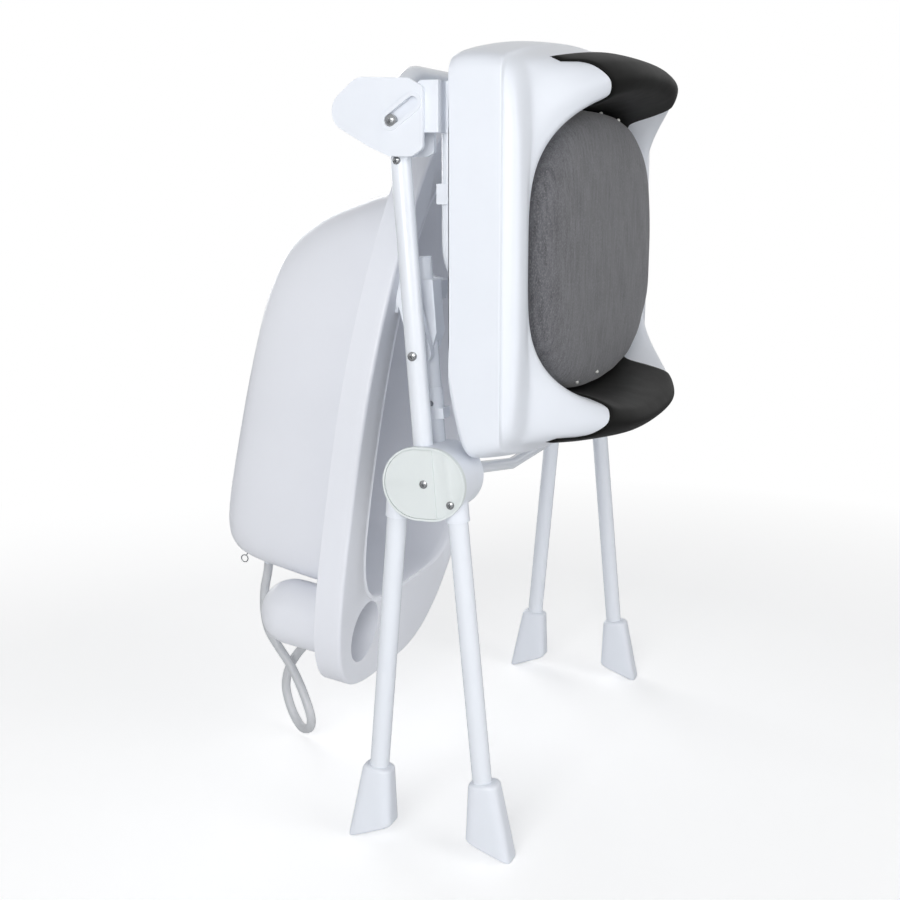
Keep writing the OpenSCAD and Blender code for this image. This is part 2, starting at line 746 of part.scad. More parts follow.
// Table shell: rings from the base edge over the crest of the rim to the seat of the pad
table_base_x = 28.5;
table_middle = 267;
table_points = 64;
// Each ring: inset from the side, the top end and the bottom end as shares of half the width,
// rise as a share of the rim, share of the grips' extra rise, and squareness
table_ring_shares = [
    [0.000, 0.012, 0.250, 0.000, 0.00, 22],
    [0.000, 0.003, 0.120, 0.095, 0.00, 22],
    [0.000, 0.000, 0.012, 0.270, 0.00, 22],
    [0.000, 0.014, 0.030, 0.600, 0.00, 22],
    [0.000, 0.030, 0.065, 0.870, 0.12, 20],
    [0.012, 0.055, 0.085, 0.935, 0.50, 12],
    [0.045, 0.090, 0.112, 0.980, 0.86, 7],
    [0.090, 0.132, 0.148, 1.000, 1.00, 5],
    [0.130, 0.170, 0.185, 0.975, 0.94, 4.2],
    [0.165, 0.203, 0.215, 0.888, 0.66, 3.8],
    [0.187, 0.230, 0.236, 0.757, 0.25, 3.5],
    [0.200, 0.246, 0.250, 0.710, 0.00, 3.4],
    [0.543, 0.543, 0.543, 0.710, 0.00, 3],
];
table_crest = 7;
grip_fade_share = 0.86;
grip_flatness = 3.2;
grip_fade_power = 1.2;
half_width = table_width / 2;
function grip_lift(y, up) =
    ((1 + up) * grip_rise + (1 - up) * lower_grip_rise) / 2
    * pow(max(0, 1 - pow(abs(y) / (half_width * grip_fade_share), grip_flatness)), grip_fade_power);
function squircle(a, n) = [cos(a), sin(a)] / pow(pow(abs(cos(a)), n) + pow(abs(sin(a)), n), 1 / n);
// Point of a ring at an angle, moved in by a wall and down by a drop
function table_point(shares, a, wall, drop) =
    let (p = squircle(a, shares[5]))
    let (y = (half_width - shares[0] * half_width - wall) * p[0])
    let (end = table_length / 2 + end_bulge * (1 - pow(y / half_width, 2)))
    let (inset = (sin(a) > 0 ? shares[1] : shares[2]) * half_width + wall)
    [shares[3] * rim_rise + shares[4] * grip_lift(y, p[1]) - drop, y, (end - inset) * p[1]];
function table_ring(i, wall, drop) =
    [for (k = [0:table_points - 1]) table_point(table_ring_shares[i], 360 * k / table_points, wall, drop)];
function wall_side(i) = i < table_crest ? 1 : i == table_crest ? 0 : i == len(table_ring_shares) - 1 ? 0 : -1;
module table_place() {
    hub_place() translate([table_base_x, 0, table_middle]) children();
}
module table_shell() {
    last = len(table_ring_shares) - 1;
    seat = table_ring_shares[last][3] * rim_rise;
    color(white) table_place() skin(
        [seat - table_wall, 0, 0],
        concat(
            [for (i = [last:-1:0]) table_ring(i, wall_side(i) * table_wall, i == 0 ? 0 : table_wall)],
            [for (i = [0:last]) table_ring(i, 0, 0)]),
        [seat, 0, 0]);
}

// Rubber grips over the raised ends, each a patch that follows the shell
grip_first = 5;
grip_last = 9;
grip_span = 6;
function grip_shell_gap() = gap / 5;
module table_grip(up) {
    middle = table_points * (up ? 0.25 : 0.75);
    keys = [for (k = [middle - grip_span:middle + grip_span]) k];
    rows = [for (i = [grip_first:grip_last]) i];
    color(rubber) table_place() patch(
        [for (i = rows) [for (k = keys)
            table_point(table_ring_shares[i], 360 * k / table_points, -wall_side(i) * grip_depth, -grip_depth)]],
        [for (i = rows) [for (k = keys)
            table_point(table_ring_shares[i], 360 * k / table_points, -wall_side(i) * grip_shell_gap(),
                -grip_shell_gap())]]);
}
module grip_top() {
    table_grip(true);
}
module grip_bottom() {
    table_grip(false);
}

// Base panel that closes the shell from below
module table_base() {
    color(white) table_place() rotate([90, 0, 90]) linear_extrude(height = table_wall)
        polygon([for (k = [0:table_points - 1])
            let (p = table_point(table_ring_shares[0], 360 * k / table_points, table_wall + gap, 0))
            [p[1], p[2]]]);
}

// Pad: a crowned cushion with drawn-in sides, seated in the shell
pad_points = 56;
pad_gap = 2;
pad_squareness = 3.3;
pad_edge = 26;
// Each ring: inset as a share of the soft edge, and height as a share of the pad's
pad_ring_shares = [
    [0.30, 0.000], [0.06, 0.035], [-0.02, 0.158], [0.00, 0.340], [0.10, 0.520], [0.30, 0.670],
    [0.75, 0.800], [1.60, 0.900], [3.20, 0.970], [5.00, 0.998],
];
pad_seat = table_ring_shares[len(table_ring_shares) - 2];
function pad_ring(shares) =
    let (w = half_width * (1 - pad_seat[0]) - pad_gap - shares[0] * pad_edge)
    [for (k = [0:pad_points - 1])
        let (p = squircle(360 * k / pad_points, pad_squareness), y = w * p[0])
        let (end = table_length / 2 + end_bulge * (1 - pow(y / half_width, 2)))
        [pad_seat[3] * rim_rise + gap / 2 + shares[1] * pad_height, y,
            (end - pad_seat[1] * half_width - pad_gap - shares[0] * pad_edge) * p[1]]];
module table_pad() {
    seat = pad_seat[3] * rim_rise + gap / 2;
    color(pad_grey) table_place() skin(
        [seat, 0, 0],
        [for (shares = pad_ring_shares) pad_ring(shares)],
        [seat + pad_height, 0, 0]);
}

// Clips that hold the rail to the base panel
clip_width = 24;
clip_wall = 3;
clip_upper = 345;
clip_lower = 130;
module rail_clip(y, z) {
    reach = rail_d / 2 + clip_wall;
    difference() {
        translate([rail_x - reach, y - clip_width / 2, z - clip_width / 2])
            cube([table_base_x - rail_x + reach - fit, clip_width, clip_width]);
        translate([rail_x, y, z - clip_width]) cylinder(d = rail_d + 2 * fit, h = 2 * clip_width);
    }
}
module rail_clips() {
    color(white) hub_place() both_sides() {
        rail_clip(rail_track, clip_upper);
        rail_clip(rail_waist, clip_lower);
    }
}

// Tub: rings over the bowl, the rim and the skirt, drawn with the rim plane upwards
tub_points = 56;
tub_out = 189;
tub_down = 364;
half_tub = tub_width / 2;
module tub_place() {
    hub_place() translate([-tub_out, 0, -tub_down]) rotate([0, tub_tilt - 90, 0]) children();
}
// Each ring of the bowl: foot end and head end as shares of the length, half width as a share of
// half the rim's, depths at the foot and the head as shares of the depth, and squareness
bowl_ring_shares = [
    [0.146, 0.893, 0.790, 0.000, 0.000, 5],
    [0.150, 0.886, 0.768, 0.014, 0.014, 5],
    [0.153, 0.880, 0.756, 0.050, 0.050, 5],
    [0.157, 0.862, 0.742, 0.240, 0.205, 5.5],
    [0.162, 0.835, 0.725, 0.500, 0.420, 6],
    [0.167, 0.795, 0.700, 0.760, 0.660, 6],
    [0.176, 0.752, 0.655, 0.920, 0.810, 5.5],
    [0.200, 0.700, 0.570, 0.985, 0.872, 5],
    [0.350, 0.550, 0.250, 0.970, 0.910, 4],
];
rim_squareness = 5;
rim_far_squareness = 2.3;
rim_edge_r = 5;
// The tub keeps its width from the foot to the start of the narrowing, and narrows to the head
narrow_start_share = 0.42;
narrow_share = 0.55;
function tub_narrowing(s) =
    1 - narrow_share * pow(max(0, s / tub_length - narrow_start_share) / (1 - narrow_start_share), 2);
// Ring of the tub: far_foot is the squareness of the corner at the foot away from the cup
function tub_ring(foot, head, w, wall, d_foot, d_head, n, far_foot) =
    [for (k = [0:tub_points - 1])
        let (a = 360 * k / tub_points)
        let (p = squircle(a, a > 90 && a < 180 ? far_foot : n), share = (1 + p[0]) / 2)
        let (s = foot + (head - foot) * share)
        [s, (w * tub_narrowing(s) + wall) * p[1], d_foot + (d_head - d_foot) * share]];
function bowl_ring(shares, wall) = tub_ring(
    shares[0] * tub_length - wall, shares[1] * tub_length + wall, shares[2] * half_tub, wall,
    shares[3] * tub_depth + wall, shares[4] * tub_depth + wall, shares[5], shares[5]);
function rim_ring(inset, d) =
    tub_ring(inset, tub_length - inset, half_tub, -inset, d, d, rim_squareness, rim_far_squareness);
bowl_last = len(bowl_ring_shares) - 1;
function floor_middle(wall) =
    let (s = bowl_ring_shares[bowl_last])
    [(s[0] + s[1]) / 2 * tub_length, 0, (s[3] + s[4]) / 2 * tub_depth + wall];
cup_along = 90;
cup_across = 153;
drain_across = 60;
drain_level = 210;
drain_d = 18;
module tub_shell() {
    inside = tub_depth - tub_wall;
    color(tub_white) tub_place() difference() {
        union() {
            skin(
                floor_middle(-tub_wall),
                concat(
                    [for (i = [bowl_last:-1:1]) bowl_ring(bowl_ring_shares[i], -tub_wall)],
                    [bowl_ring(bowl_ring_shares[0], 0)],
                    [rim_ring(rim_edge_r, 0)],
                    [rim_ring(rim_edge_r * 0.3, rim_edge_r * 0.3)],
                    [rim_ring(0, rim_edge_r)],
                    [rim_ring(0, skirt_depth)],
                    [rim_ring(tub_wall, skirt_depth)],
                    [rim_ring(tub_wall, rim_edge_r)],
                    [rim_ring(rim_edge_r + tub_wall, tub_wall)],
                    [for (i = [1:bowl_last]) bowl_ring(bowl_ring_shares[i], 0)]),
                floor_middle(0));
            translate([cup_along, -cup_across, tub_wall / 2])
                cylinder(d = cup_d + 2 * tub_wall, h = cup_depth - cup_d / 2);
            translate([cup_along, -cup_across, cup_depth - cup_d / 2 + tub_wall / 2])
                sphere(d = cup_d + 2 * tub_wall);
        }
        translate([cup_along, -cup_across, -cut]) cylinder(d = cup_d, h = cup_depth - cup_d / 2 + cut);
        translate([cup_along, -cup_across, cup_depth - cup_d / 2]) sphere(d = cup_d);
        translate([0, -drain_across, drain_level]) rotate([0, 90, 0])
            cylinder(d = drain_d + 2 * fit, h = tub_length / 3);
    }
}

// Drain: an outlet through the foot wall that the hose pushes on to, and its plug
drain_wall_share = 0.1711;
drain_wall = tub_length * drain_wall_share;
drain_flange_d = 30;
drain_length = 26;
plug_d = 13;
plug_depth = 10;
module drain_place() {
    tub_place() translate([drain_wall, -drain_across, drain_level]) rotate([0, -90, 0]) children();
}
module drain_outlet() {
    color(white) difference() {
        drain_place() {
            translate([0, 0, -5 * tub_wall]) cylinder(d = drain_d, h = 5 * tub_wall + drain_length / 2);
            translate([0, 0, tub_wall]) cylinder(d = drain_flange_d, h = tub_wall);
            cylinder(d = hose_d, h = drain_length);
        }
        drain_place() translate([0, 0, -6 * tub_wall]) cylinder(d = plug_d, h = plug_depth + 4 * tub_wall);
    }
}
module drain_plug() {
    color(rubber) drain_place() {
        translate([0, 0, -5 * tub_wall - gap]) cylinder(d = plug_d - 4 * fit, h = plug_depth);
        translate([0, 0, -6 * tub_wall - gap / 2]) cylinder(d = drain_d, h = tub_wall);
    }
}
// Wire loop by the drain, on a stem in the foot wall
wire_d = 1.8;
loop_d = 11;
loop_across_share = 0.394;
loop_wall_share = 0.18084;
loop_level_share = 0.894;
loop_reach = [-13.1, 5.5];
loop_across = half_tub * loop_across_share;
loop_foot = [tub_length * loop_wall_share - tub_wall, tub_depth * loop_level_share];
module wire_loop() {
    way = loop_reach;
    color(chrome) tub_place() translate([loop_foot[0], -loop_across, loop_foot[1]])
        rotate([0, 90 - atan2(way[1], way[0]), 0]) {
            cylinder(d = wire_d, h = norm(way));
            translate([0, 0, norm(way) + loop_d / 2]) rotate([90, 0, 0])
                rotate_extrude() translate([loop_d / 2, 0]) circle(d = wire_d);
        }
}

// Hangers carry the tub on the arms' pins: a link behind the arm, a bar inwards from its top, and
// a lug that stands on a flange screwed to the rim
hanger_boss_r = 13;
hanger_top = [64, 28];
hanger_bar = 11;
hanger_bar_r = 6;
hanger_lug_width = 12;
hanger_lug_length = 38;
hanger_flange_length = 84;
hanger_flange_width = 34;
hanger_flange_depth = 4;
hanger_edge = 7;
function pivot_in_tub() =
    let (p = on_arm(pivot_height) + [tub_out, tub_down])
    [p[0] * sin(tub_tilt) + p[1] * cos(tub_tilt), -p[0] * cos(tub_tilt) + p[1] * sin(tub_tilt)];
function hanger_across() =
    half_tub * tub_narrowing(pivot_in_tub()[0] + hanger_top[0] + hanger_flange_length / 2) - hanger_edge;
module tub_hanger(s) {
    q = pivot_in_tub();
    top = q + hanger_top;
    outer = top[1] + hanger_boss_r;
    edge = hanger_across();
    inner = edge - hanger_lug_width;
    color(white) on_side(s) tub_place() difference() {
        union() {
            plate(hanger_back, hanger_front) polygon(stadium(q, top, hanger_boss_r));
            plate(inner, hanger_front) polygon(rounded([
                [top[0] - hanger_boss_r, outer - hanger_bar],
                [top[0] + hanger_boss_r, outer - hanger_bar],
                [top[0] + hanger_boss_r, outer],
                [top[0] - hanger_boss_r, outer],
            ], [cut, cut, hanger_bar_r, hanger_bar_r]));
            plate(inner, inner + hanger_lug_width) polygon([
                [top[0] - hanger_boss_r, outer - hanger_bar + cut],
                [top[0] + hanger_boss_r, outer - hanger_bar + cut],
                [top[0] + hanger_lug_length / 2, -fit],
                [top[0] - hanger_lug_length / 2, -fit],
            ]);
            translate([top[0] - hanger_flange_length / 2, edge - hanger_flange_width,
                -fit - hanger_flange_depth])
                cube([hanger_flange_length, hanger_flange_width, hanger_flange_depth]);
        }
        bar(hanger_back - cut, hanger_front + cut, pivot_pin_d + 2 * fit, q[0], q[1]);
    }
}
hanger_screw_d = 8;
hanger_screw_depth = 2.5;
module hanger_screws() {
    along = pivot_in_tub()[0] + hanger_top[0];
    y = hanger_across() - hanger_flange_width / 2;
    step = hanger_flange_length / 2 - hanger_screw_d;
    color(chrome) both_sides() tub_place() for (x = [-step, step])
        translate([along + x, y, -fit - hanger_flange_depth - hanger_screw_depth])
            cylinder(d = hanger_screw_d, h = hanger_screw_depth);
}

// Pins of the hangers: a head on the arm, a washer inside it and a flat end
pin_head_d = 11;
pin_head_depth = 2.2;
pin_end_d = 12;
pin_end_depth = 1.2;
module tub_pivot(s) {
    end = hanger_back - gap / 2;
    outer = half_track + tube_d / 2;
    color(chrome) on_side(s) arm_place() translate([0, 0, pivot_height]) {
        bar(end - pin_end_depth, outer + pin_head_depth, pivot_pin_d);
        bar(end - pin_end_depth, end, pin_end_d);
        difference() {
            union() {
                bar(hanger_front + gap / 2, half_track, pin_end_d);
                bar(half_track, outer + pin_head_depth, pin_head_d);
            }
            translate([0, half_track, -tube_d]) cylinder(d = tube_d + 2 * fit, h = 2 * tube_d);
        }
    }
}

// Drain hose: from the outlet it hangs in a loop and turns up into its holder under the rim
holder_share = 0.1205;
holder_along = tub_length * holder_share;
holder_across = 48;
holder_depth = 25;
holder_floor = 10;
holder_wall = 3.5;
module hose_holder() {
    color(white) tub_place() translate([holder_along, -holder_across, 0]) difference() {
        translate([0, 0, tub_wall + gap]) cylinder(d = hose_d + 2 * holder_wall, h = holder_depth - tub_wall);
        translate([0, 0, holder_floor]) cylinder(d = hose_d + 2 * fit, h = holder_depth);
    }
}
// Point of the tub's frame, from the floor under the hub axis
function in_stand(s, y, d) = [
    s * sin(tub_tilt) - d * cos(tub_tilt) - tub_out, y,
    hub_height - tub_down + s * cos(tub_tilt) + d * sin(tub_tilt)];
// Points that the hose's middle line passes through on its way
hose_route = [
    [-382, -60, 250], [-387, -62, 222], [-386, -66, 192], [-377, -72, 163], [-358, -79, 141],
    [-333, -88, 117], [-312, -98, 92], [-296, -106, 66], [-288, -108, 42], [-296, -98, 22],
    [-318, -80, 12], [-338, -67, 24], [-350, -62, 46], [-355, -60, 70], [-350, -59, 96],
    [-337, -58, 120], [-318, -57, 143], [-296, -55, 167], [-272, -52, 189], [-246, -49, 210],
];
hose_sides = 12;
hose_line = concat(
    [in_stand(drain_wall - drain_length, -drain_across, drain_level)],
    hose_route,
    [in_stand(holder_along, -holder_across, holder_depth + hose_d)],
    [in_stand(holder_along, -holder_across, holder_floor)]);
function tangent(p, i) =
    i == 0 ? in_stand(-1, 0, 0) - in_stand(0, 0, 0)
    : i == len(p) - 1 ? in_stand(0, 0, -1) - in_stand(0, 0, 0)
    : unit(unit(p[i + 1] - p[i]) + unit(p[i] - p[i - 1]));
function carried(p, i, n) =
    let (t = tangent(p, i), m = unit(n - (n * t) * t))
    i == len(p) - 1 ? [m] : concat([m], carried(p, i + 1, m));
module drain_hose() {
    normals = carried(hose_line, 0, [0, 1, 0]);
    color(hose_grey) translate([hub_x, 0, 0]) skin(
        hose_line[0],
        [for (i = [0:len(hose_line) - 1])
            let (n = normals[i], b = cross(tangent(hose_line, i), n))
            [for (k = [0:hose_sides - 1])
                let (a = 360 * k / hose_sides)
                hose_line[i] + hose_d / 2 * (n * cos(a) + b * sin(a))]],
        hose_line[len(hose_line) - 1]);
}

outer_frame_tube();
outer_leg(-1);  // outer_leg_near
outer_leg(1);  // outer_leg_far
outer_foot(-1);  // outer_foot_near
outer_foot(1);  // outer_foot_far
hub_body(-1);  // hub_body_near
hub_body(1);  // hub_body_far
hub_cover(-1);  // hub_cover_near
hub_cover(1);  // hub_cover_far
hub_bolt(-1);  // hub_bolt_near
hub_bolt(1);  // hub_bolt_far
hub_screws();
wing_front(-1);  // wing_front_near
wing_front(1);  // wing_front_far
wing_back(-1);  // wing_back_near
wing_back(1);  // wing_back_far
stop_screws();
tub_pivot(-1);  // tub_pivot_near
tub_pivot(1);  // tub_pivot_far
inner_hub(-1);  // inner_hub_near
inner_hub(1);  // inner_hub_far
inner_leg(-1);  // inner_leg_near
inner_leg(1);  // inner_leg_far
inner_foot(-1);  // inner_foot_near
inner_foot(1);  // inner_foot_far
inner_arm(-1);  // inner_arm_near
inner_arm(1);  // inner_arm_far
arm_cap(-1);  // arm_cap_near
arm_cap(1);  // arm_cap_far
arm_bracket(-1);  // arm_bracket_near
arm_bracket(1);  // arm_bracket_far
arm_collar(-1);  // arm_collar_near
arm_collar(1);  // arm_collar_far
collar_button(-1);  // collar_button_near
collar_button(1);  // collar_button_far
table_pin(-1);  // table_pin_near
table_pin(1);  // table_pin_far
table_arm(-1);  // table_arm_near
table_arm(1);  // table_arm_far
table_rail();
rail_clips();
table_base();
table_shell();
grip_top();
grip_bottom();
table_pad();
tub_shell();
tub_hanger(-1);  // tub_hanger_near
tub_hanger(1);  // tub_hanger_far
hanger_screws();
drain_outlet();
drain_plug();
wire_loop();
hose_holder();
drain_hose();
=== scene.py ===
import json
import math

import bmesh
import bpy
import numpy as np
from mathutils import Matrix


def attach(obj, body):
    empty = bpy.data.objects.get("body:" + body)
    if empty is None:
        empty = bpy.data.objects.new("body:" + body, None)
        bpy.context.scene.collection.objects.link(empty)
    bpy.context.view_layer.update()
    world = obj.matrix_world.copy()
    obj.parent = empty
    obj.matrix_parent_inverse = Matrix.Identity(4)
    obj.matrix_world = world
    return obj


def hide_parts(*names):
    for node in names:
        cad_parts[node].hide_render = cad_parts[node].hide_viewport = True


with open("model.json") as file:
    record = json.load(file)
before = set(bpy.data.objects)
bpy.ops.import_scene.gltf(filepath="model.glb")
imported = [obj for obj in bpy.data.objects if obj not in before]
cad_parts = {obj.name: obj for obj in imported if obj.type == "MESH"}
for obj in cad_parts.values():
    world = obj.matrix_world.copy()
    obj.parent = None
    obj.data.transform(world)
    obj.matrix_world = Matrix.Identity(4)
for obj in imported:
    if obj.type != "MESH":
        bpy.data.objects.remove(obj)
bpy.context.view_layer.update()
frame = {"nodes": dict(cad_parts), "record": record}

# Photographer's place. The eye stands 1.5 m in front of the near side of the stand and to the
# right of it, a little under its top, and looks down by 11 degrees through a 54 mm lens.
EYE_PLACE = (0.6943, -1.8401, 0.8466)
LENS_MM, SENSOR_MM = 54, 36
LOOK_DOWN, TURN_LEFT = 11.354, 20.80
eye = bpy.data.cameras.new("eye")
eye.lens = LENS_MM
eye.sensor_width = SENSOR_MM
camera = bpy.data.objects.new("eye", eye)
camera.location = EYE_PLACE
camera.rotation_euler = (math.radians(90 - LOOK_DOWN), 0, math.radians(TURN_LEFT))
bpy.context.collection.objects.link(camera)
bpy.context.scene.camera = camera

# Studio. A white room with a dim ceiling lights the stand from all round, and soft boxes model its
# shapes: a large one in front of the near side, a weaker one on the pad's side and one behind.


def linear(hex_colour):
    """sRGB hex to linear red, green, blue and alpha: each channel through the sRGB curve."""
    channels = np.array([int(hex_colour[i:i + 2], 16) for i in (1, 3, 5)]) / 255
    low = channels / 12.92
    high = ((channels + 0.055) / 1.055) ** 2.4
    return (*np.where(channels <= 0.04045, low, high).tolist(), 1.0)


def add(tree, kind, settings=(), links=()):
    """Adds one shader node: settings are its properties or input values, links its fed inputs."""
    made = tree.nodes.new(kind)
    for key, value in dict(settings).items():
        if isinstance(key, str) and hasattr(made, key):
            setattr(made, key, value)
        else:
            made.inputs[key].default_value = value
    for key, source in dict(links).items():
        tree.links.new(source, made.inputs[key])
    return made


room = bpy.data.worlds.new("white_room")
room.use_nodes = True
room.node_tree.nodes.clear()
path = add(room.node_tree, "ShaderNodeLightPath")
seen = add(room.node_tree, "ShaderNodeMath", {"operation": "MAXIMUM"},
           {0: path.outputs["Is Camera Ray"], 1: path.outputs["Is Transmission Ray"]})
mirrored = add(room.node_tree, "ShaderNodeMath", {"operation": "MAXIMUM"},
               {0: seen.outputs[0], 1: path.outputs["Is Glossy Ray"]})
toward = add(room.node_tree, "ShaderNodeTexCoord")
height = add(room.node_tree, "ShaderNodeSeparateXYZ", {}, {0: toward.outputs["Generated"]})
# How far up a ray points, as the height of its unit step, where the walls end and the ceiling begins.
WALL_TOP, CEILING_FROM = 0.15, 0.75
WALL_LIGHT, CEILING_LIGHT = 0.66, 0.14
dimmer = add(room.node_tree, "ShaderNodeMapRange",
             {1: WALL_TOP, 2: CEILING_FROM, 3: WALL_LIGHT, 4: CEILING_LIGHT}, {0: height.outputs["Z"]})
soft = add(room.node_tree, "ShaderNodeBackground", {"Color": linear("#F7F9FC")},
           {"Strength": dimmer.outputs[0]})
white = add(room.node_tree, "ShaderNodeBackground", {"Color": (1, 1, 1, 1), "Strength": 1.0})
mixed = add(room.node_tree, "ShaderNodeMixShader", {},
            {0: mirrored.outputs[0], 1: soft.outputs[0], 2: white.outputs[0]})
add(room.node_tree, "ShaderNodeOutputWorld", {}, {0: mixed.outputs[0]})
bpy.context.scene.world = room
bpy.context.scene.view_settings.view_transform = "Standard"

for lamp_name, place, aim, size, power in (
    ("key_box", (0.5, -3.4, 1.5), (0.1, 0.0, 0.5), 1.8, 56),
    ("fill_box", (2.9, -0.9, 1.3), (0.1, 0.0, 0.5), 1.8, 22),
    ("back_box", (-2.4, 2.2, 1.7), (0.0, 0.0, 0.5), 2.0, 34),
):
    lamp = bpy.data.lights.new(lamp_name, "AREA")
    lamp.size = size
    lamp.energy = power
    stand = bpy.data.objects.new(lamp_name, lamp)
    stand.location = place
    way = np.array(place) - np.array(aim)
    stand.rotation_euler = (math.acos(way[2] / np.linalg.norm(way)), 0, math.atan2(way[0], -way[1]))
    bpy.context.collection.objects.link(stand)

FLOOR_HALF = 30
floor_mesh = bpy.data.meshes.new("studio_floor")
floor_mesh.from_pydata([(-FLOOR_HALF, -FLOOR_HALF, 0), (FLOOR_HALF, -FLOOR_HALF, 0),
                        (FLOOR_HALF, FLOOR_HALF, 0), (-FLOOR_HALF, FLOOR_HALF, 0)], [], [(0, 1, 2, 3)])
studio_floor = bpy.data.objects.new("studio_floor", floor_mesh)
bpy.context.collection.objects.link(studio_floor)
# Seamless paper: matte and pale. The eye sees it lifted to white, so only shadows show on it, and
# it fades to plain white away from the stand, so it has no horizon.
PAPER_LIFT = 0.42
NEAR_FADE, FAR_FADE = 0.9, 1.9
paper = bpy.data.materials.new("seamless_paper")
paper.use_nodes = True
paper.node_tree.nodes.clear()
matte = add(paper.node_tree, "ShaderNodeBsdfDiffuse", {"Color": linear("#F2F2F2")})
glow = add(paper.node_tree, "ShaderNodeEmission", {"Color": (1, 1, 1, 1), "Strength": PAPER_LIFT})
both = add(paper.node_tree, "ShaderNodeAddShader", {}, {0: matte.outputs[0], 1: glow.outputs[0]})
spread = add(paper.node_tree, "ShaderNodeTexCoord")
away = add(paper.node_tree, "ShaderNodeVectorMath", {"operation": "LENGTH"},
           {0: spread.outputs["Object"]})
fade = add(paper.node_tree, "ShaderNodeMapRange", {1: NEAR_FADE, 2: FAR_FADE},
           {0: away.outputs["Value"]})
blank = add(paper.node_tree, "ShaderNodeEmission", {"Color": (1, 1, 1, 1), "Strength": 1.0})
faded = add(paper.node_tree, "ShaderNodeMixShader", {},
            {0: fade.outputs[0], 1: both.outputs[0], 2: blank.outputs[0]})
glance = add(paper.node_tree, "ShaderNodeLightPath")
lifted = add(paper.node_tree, "ShaderNodeMixShader", {},
             {0: glance.outputs["Is Camera Ray"], 1: matte.outputs[0], 2: faded.outputs[0]})
add(paper.node_tree, "ShaderNodeOutputMaterial", {}, {0: lifted.outputs[0]})
floor_mesh.materials.append(paper)

# Drain hose. Soft milky PVC, 14 mm across, pushed on to the outlet in the foot wall. It hangs in
# one long loop behind the cup recess and turns up again into its holder under the rim.
HOSE_D, HOSE_STEPS = 14, 160
# Middle of the hubs' axis in metres, from which the stand's pieces are placed, and the tub's lean
# from upright, with its foot end's distance out and down from there in millimetres.
HUB = np.array([0.0984, 0.0, 0.484])
TUB_TILT = math.radians(8.4)
TUB_OUT, TUB_DOWN = 189, 364


def in_tub(along, across, deep):
    """Place in the tub's own frame, in millimetres: along its length, across, and down from the rim."""
    along, across, deep = np.broadcast_arrays(along, across, deep)
    return np.stack([
        HUB[0] + (along * math.sin(TUB_TILT) - deep * math.cos(TUB_TILT) - TUB_OUT) / 1000,
        across / 1000,
        HUB[2] + (along * math.cos(TUB_TILT) + deep * math.sin(TUB_TILT) - TUB_DOWN) / 1000,
    ], -1)


def eased(rows, at):
    """Smooth curve through the rows of a table: cubics between rows, with no overshoot past any."""
    rows = np.asarray(rows, float)
    steps = np.diff(rows, axis=0)
    a, b = steps[:-1], steps[1:]
    total = np.where(a + b == 0, 1, a + b)
    inner = np.where(a * b > 0, 2 * a * b / total, 0)
    slope = np.vstack([steps[:1], inner, steps[-1:]])
    at = np.clip(np.asarray(at, float), 0, len(rows) - 1)
    i = np.minimum(at.astype(int), len(rows) - 2)
    t = (at - i)[:, None]
    return (rows[i] * (1 - t) ** 2 * (1 + 2 * t) + rows[i + 1] * t ** 2 * (3 - 2 * t)
            + slope[i] * t * (1 - t) ** 2 - slope[i + 1] * t ** 2 * (1 - t))


def smooth_line(points, count):
    """Curve through points with each tangent along its neighbours' chord, in equal steps of length."""
    points = np.asarray(points, float)
    padded_points = np.vstack([2 * points[0] - points[1], points, 2 * points[-1] - points[-2]])
    t = np.linspace(0, len(points) - 1, count * 4)
    i = np.minimum(t.astype(int), len(points) - 2)
    s = (t - i)[:, None]
    p0, p1, p2, p3 = (padded_points[i + k] for k in range(4))
    line = 0.5 * (2 * p1 + (p2 - p0) * s + (2 * p0 - 5 * p1 + 4 * p2 - p3) * s ** 2
                  + (3 * p1 - p0 - 3 * p2 + p3) * s ** 3)
    run = np.concatenate([[0], np.cumsum(np.linalg.norm(np.diff(line, axis=0), axis=1))])
    return np.stack([np.interp(np.linspace(0, run[-1], count), run, line[:, k]) for k in range(3)], -1)


OUTLET_END, HOLDER_MOUTH, HOLDER_FLOOR = (116, -60, 210), (100, -48, 39), (100, -48, 10)
# The loop's way between them, in millimetres out from the hubs, across, and above the floor.
hose_route = np.array([
    [-382, -60, 250], [-387, -62, 222], [-386, -66, 192], [-377, -72, 163], [-358, -79, 141],
    [-333, -88, 117], [-312, -98, 92], [-296, -106, 66], [-288, -108, 42], [-296, -98, 22],
    [-318, -80, 12], [-338, -67, 24], [-350, -62, 46], [-355, -60, 70], [-350, -59, 96],
    [-337, -58, 120], [-318, -57, 143], [-296, -55, 167], [-272, -52, 189], [-246, -49, 210],
]) / 1000 + [HUB[0], 0, 0]
hose_line = smooth_line(np.vstack([
    in_tub(*OUTLET_END), hose_route, in_tub(*HOLDER_MOUTH), in_tub(*HOLDER_FLOOR)]), HOSE_STEPS)

hose_curve = bpy.data.curves.new("drain_hose_tube", "CURVE")
hose_curve.dimensions = "3D"
hose_curve.bevel_depth = HOSE_D / 2000
hose_curve.bevel_resolution = 6
hose_curve.use_fill_caps = True
strand = hose_curve.splines.new("POLY")
strand.points.add(len(hose_line) - 1)
strand.points.foreach_set("co", np.hstack([hose_line, np.ones((len(hose_line), 1))]).ravel())
strand.use_smooth = True
drain_hose = bpy.data.objects.new("drain_hose_tube", hose_curve)
bpy.context.collection.objects.link(drain_hose)

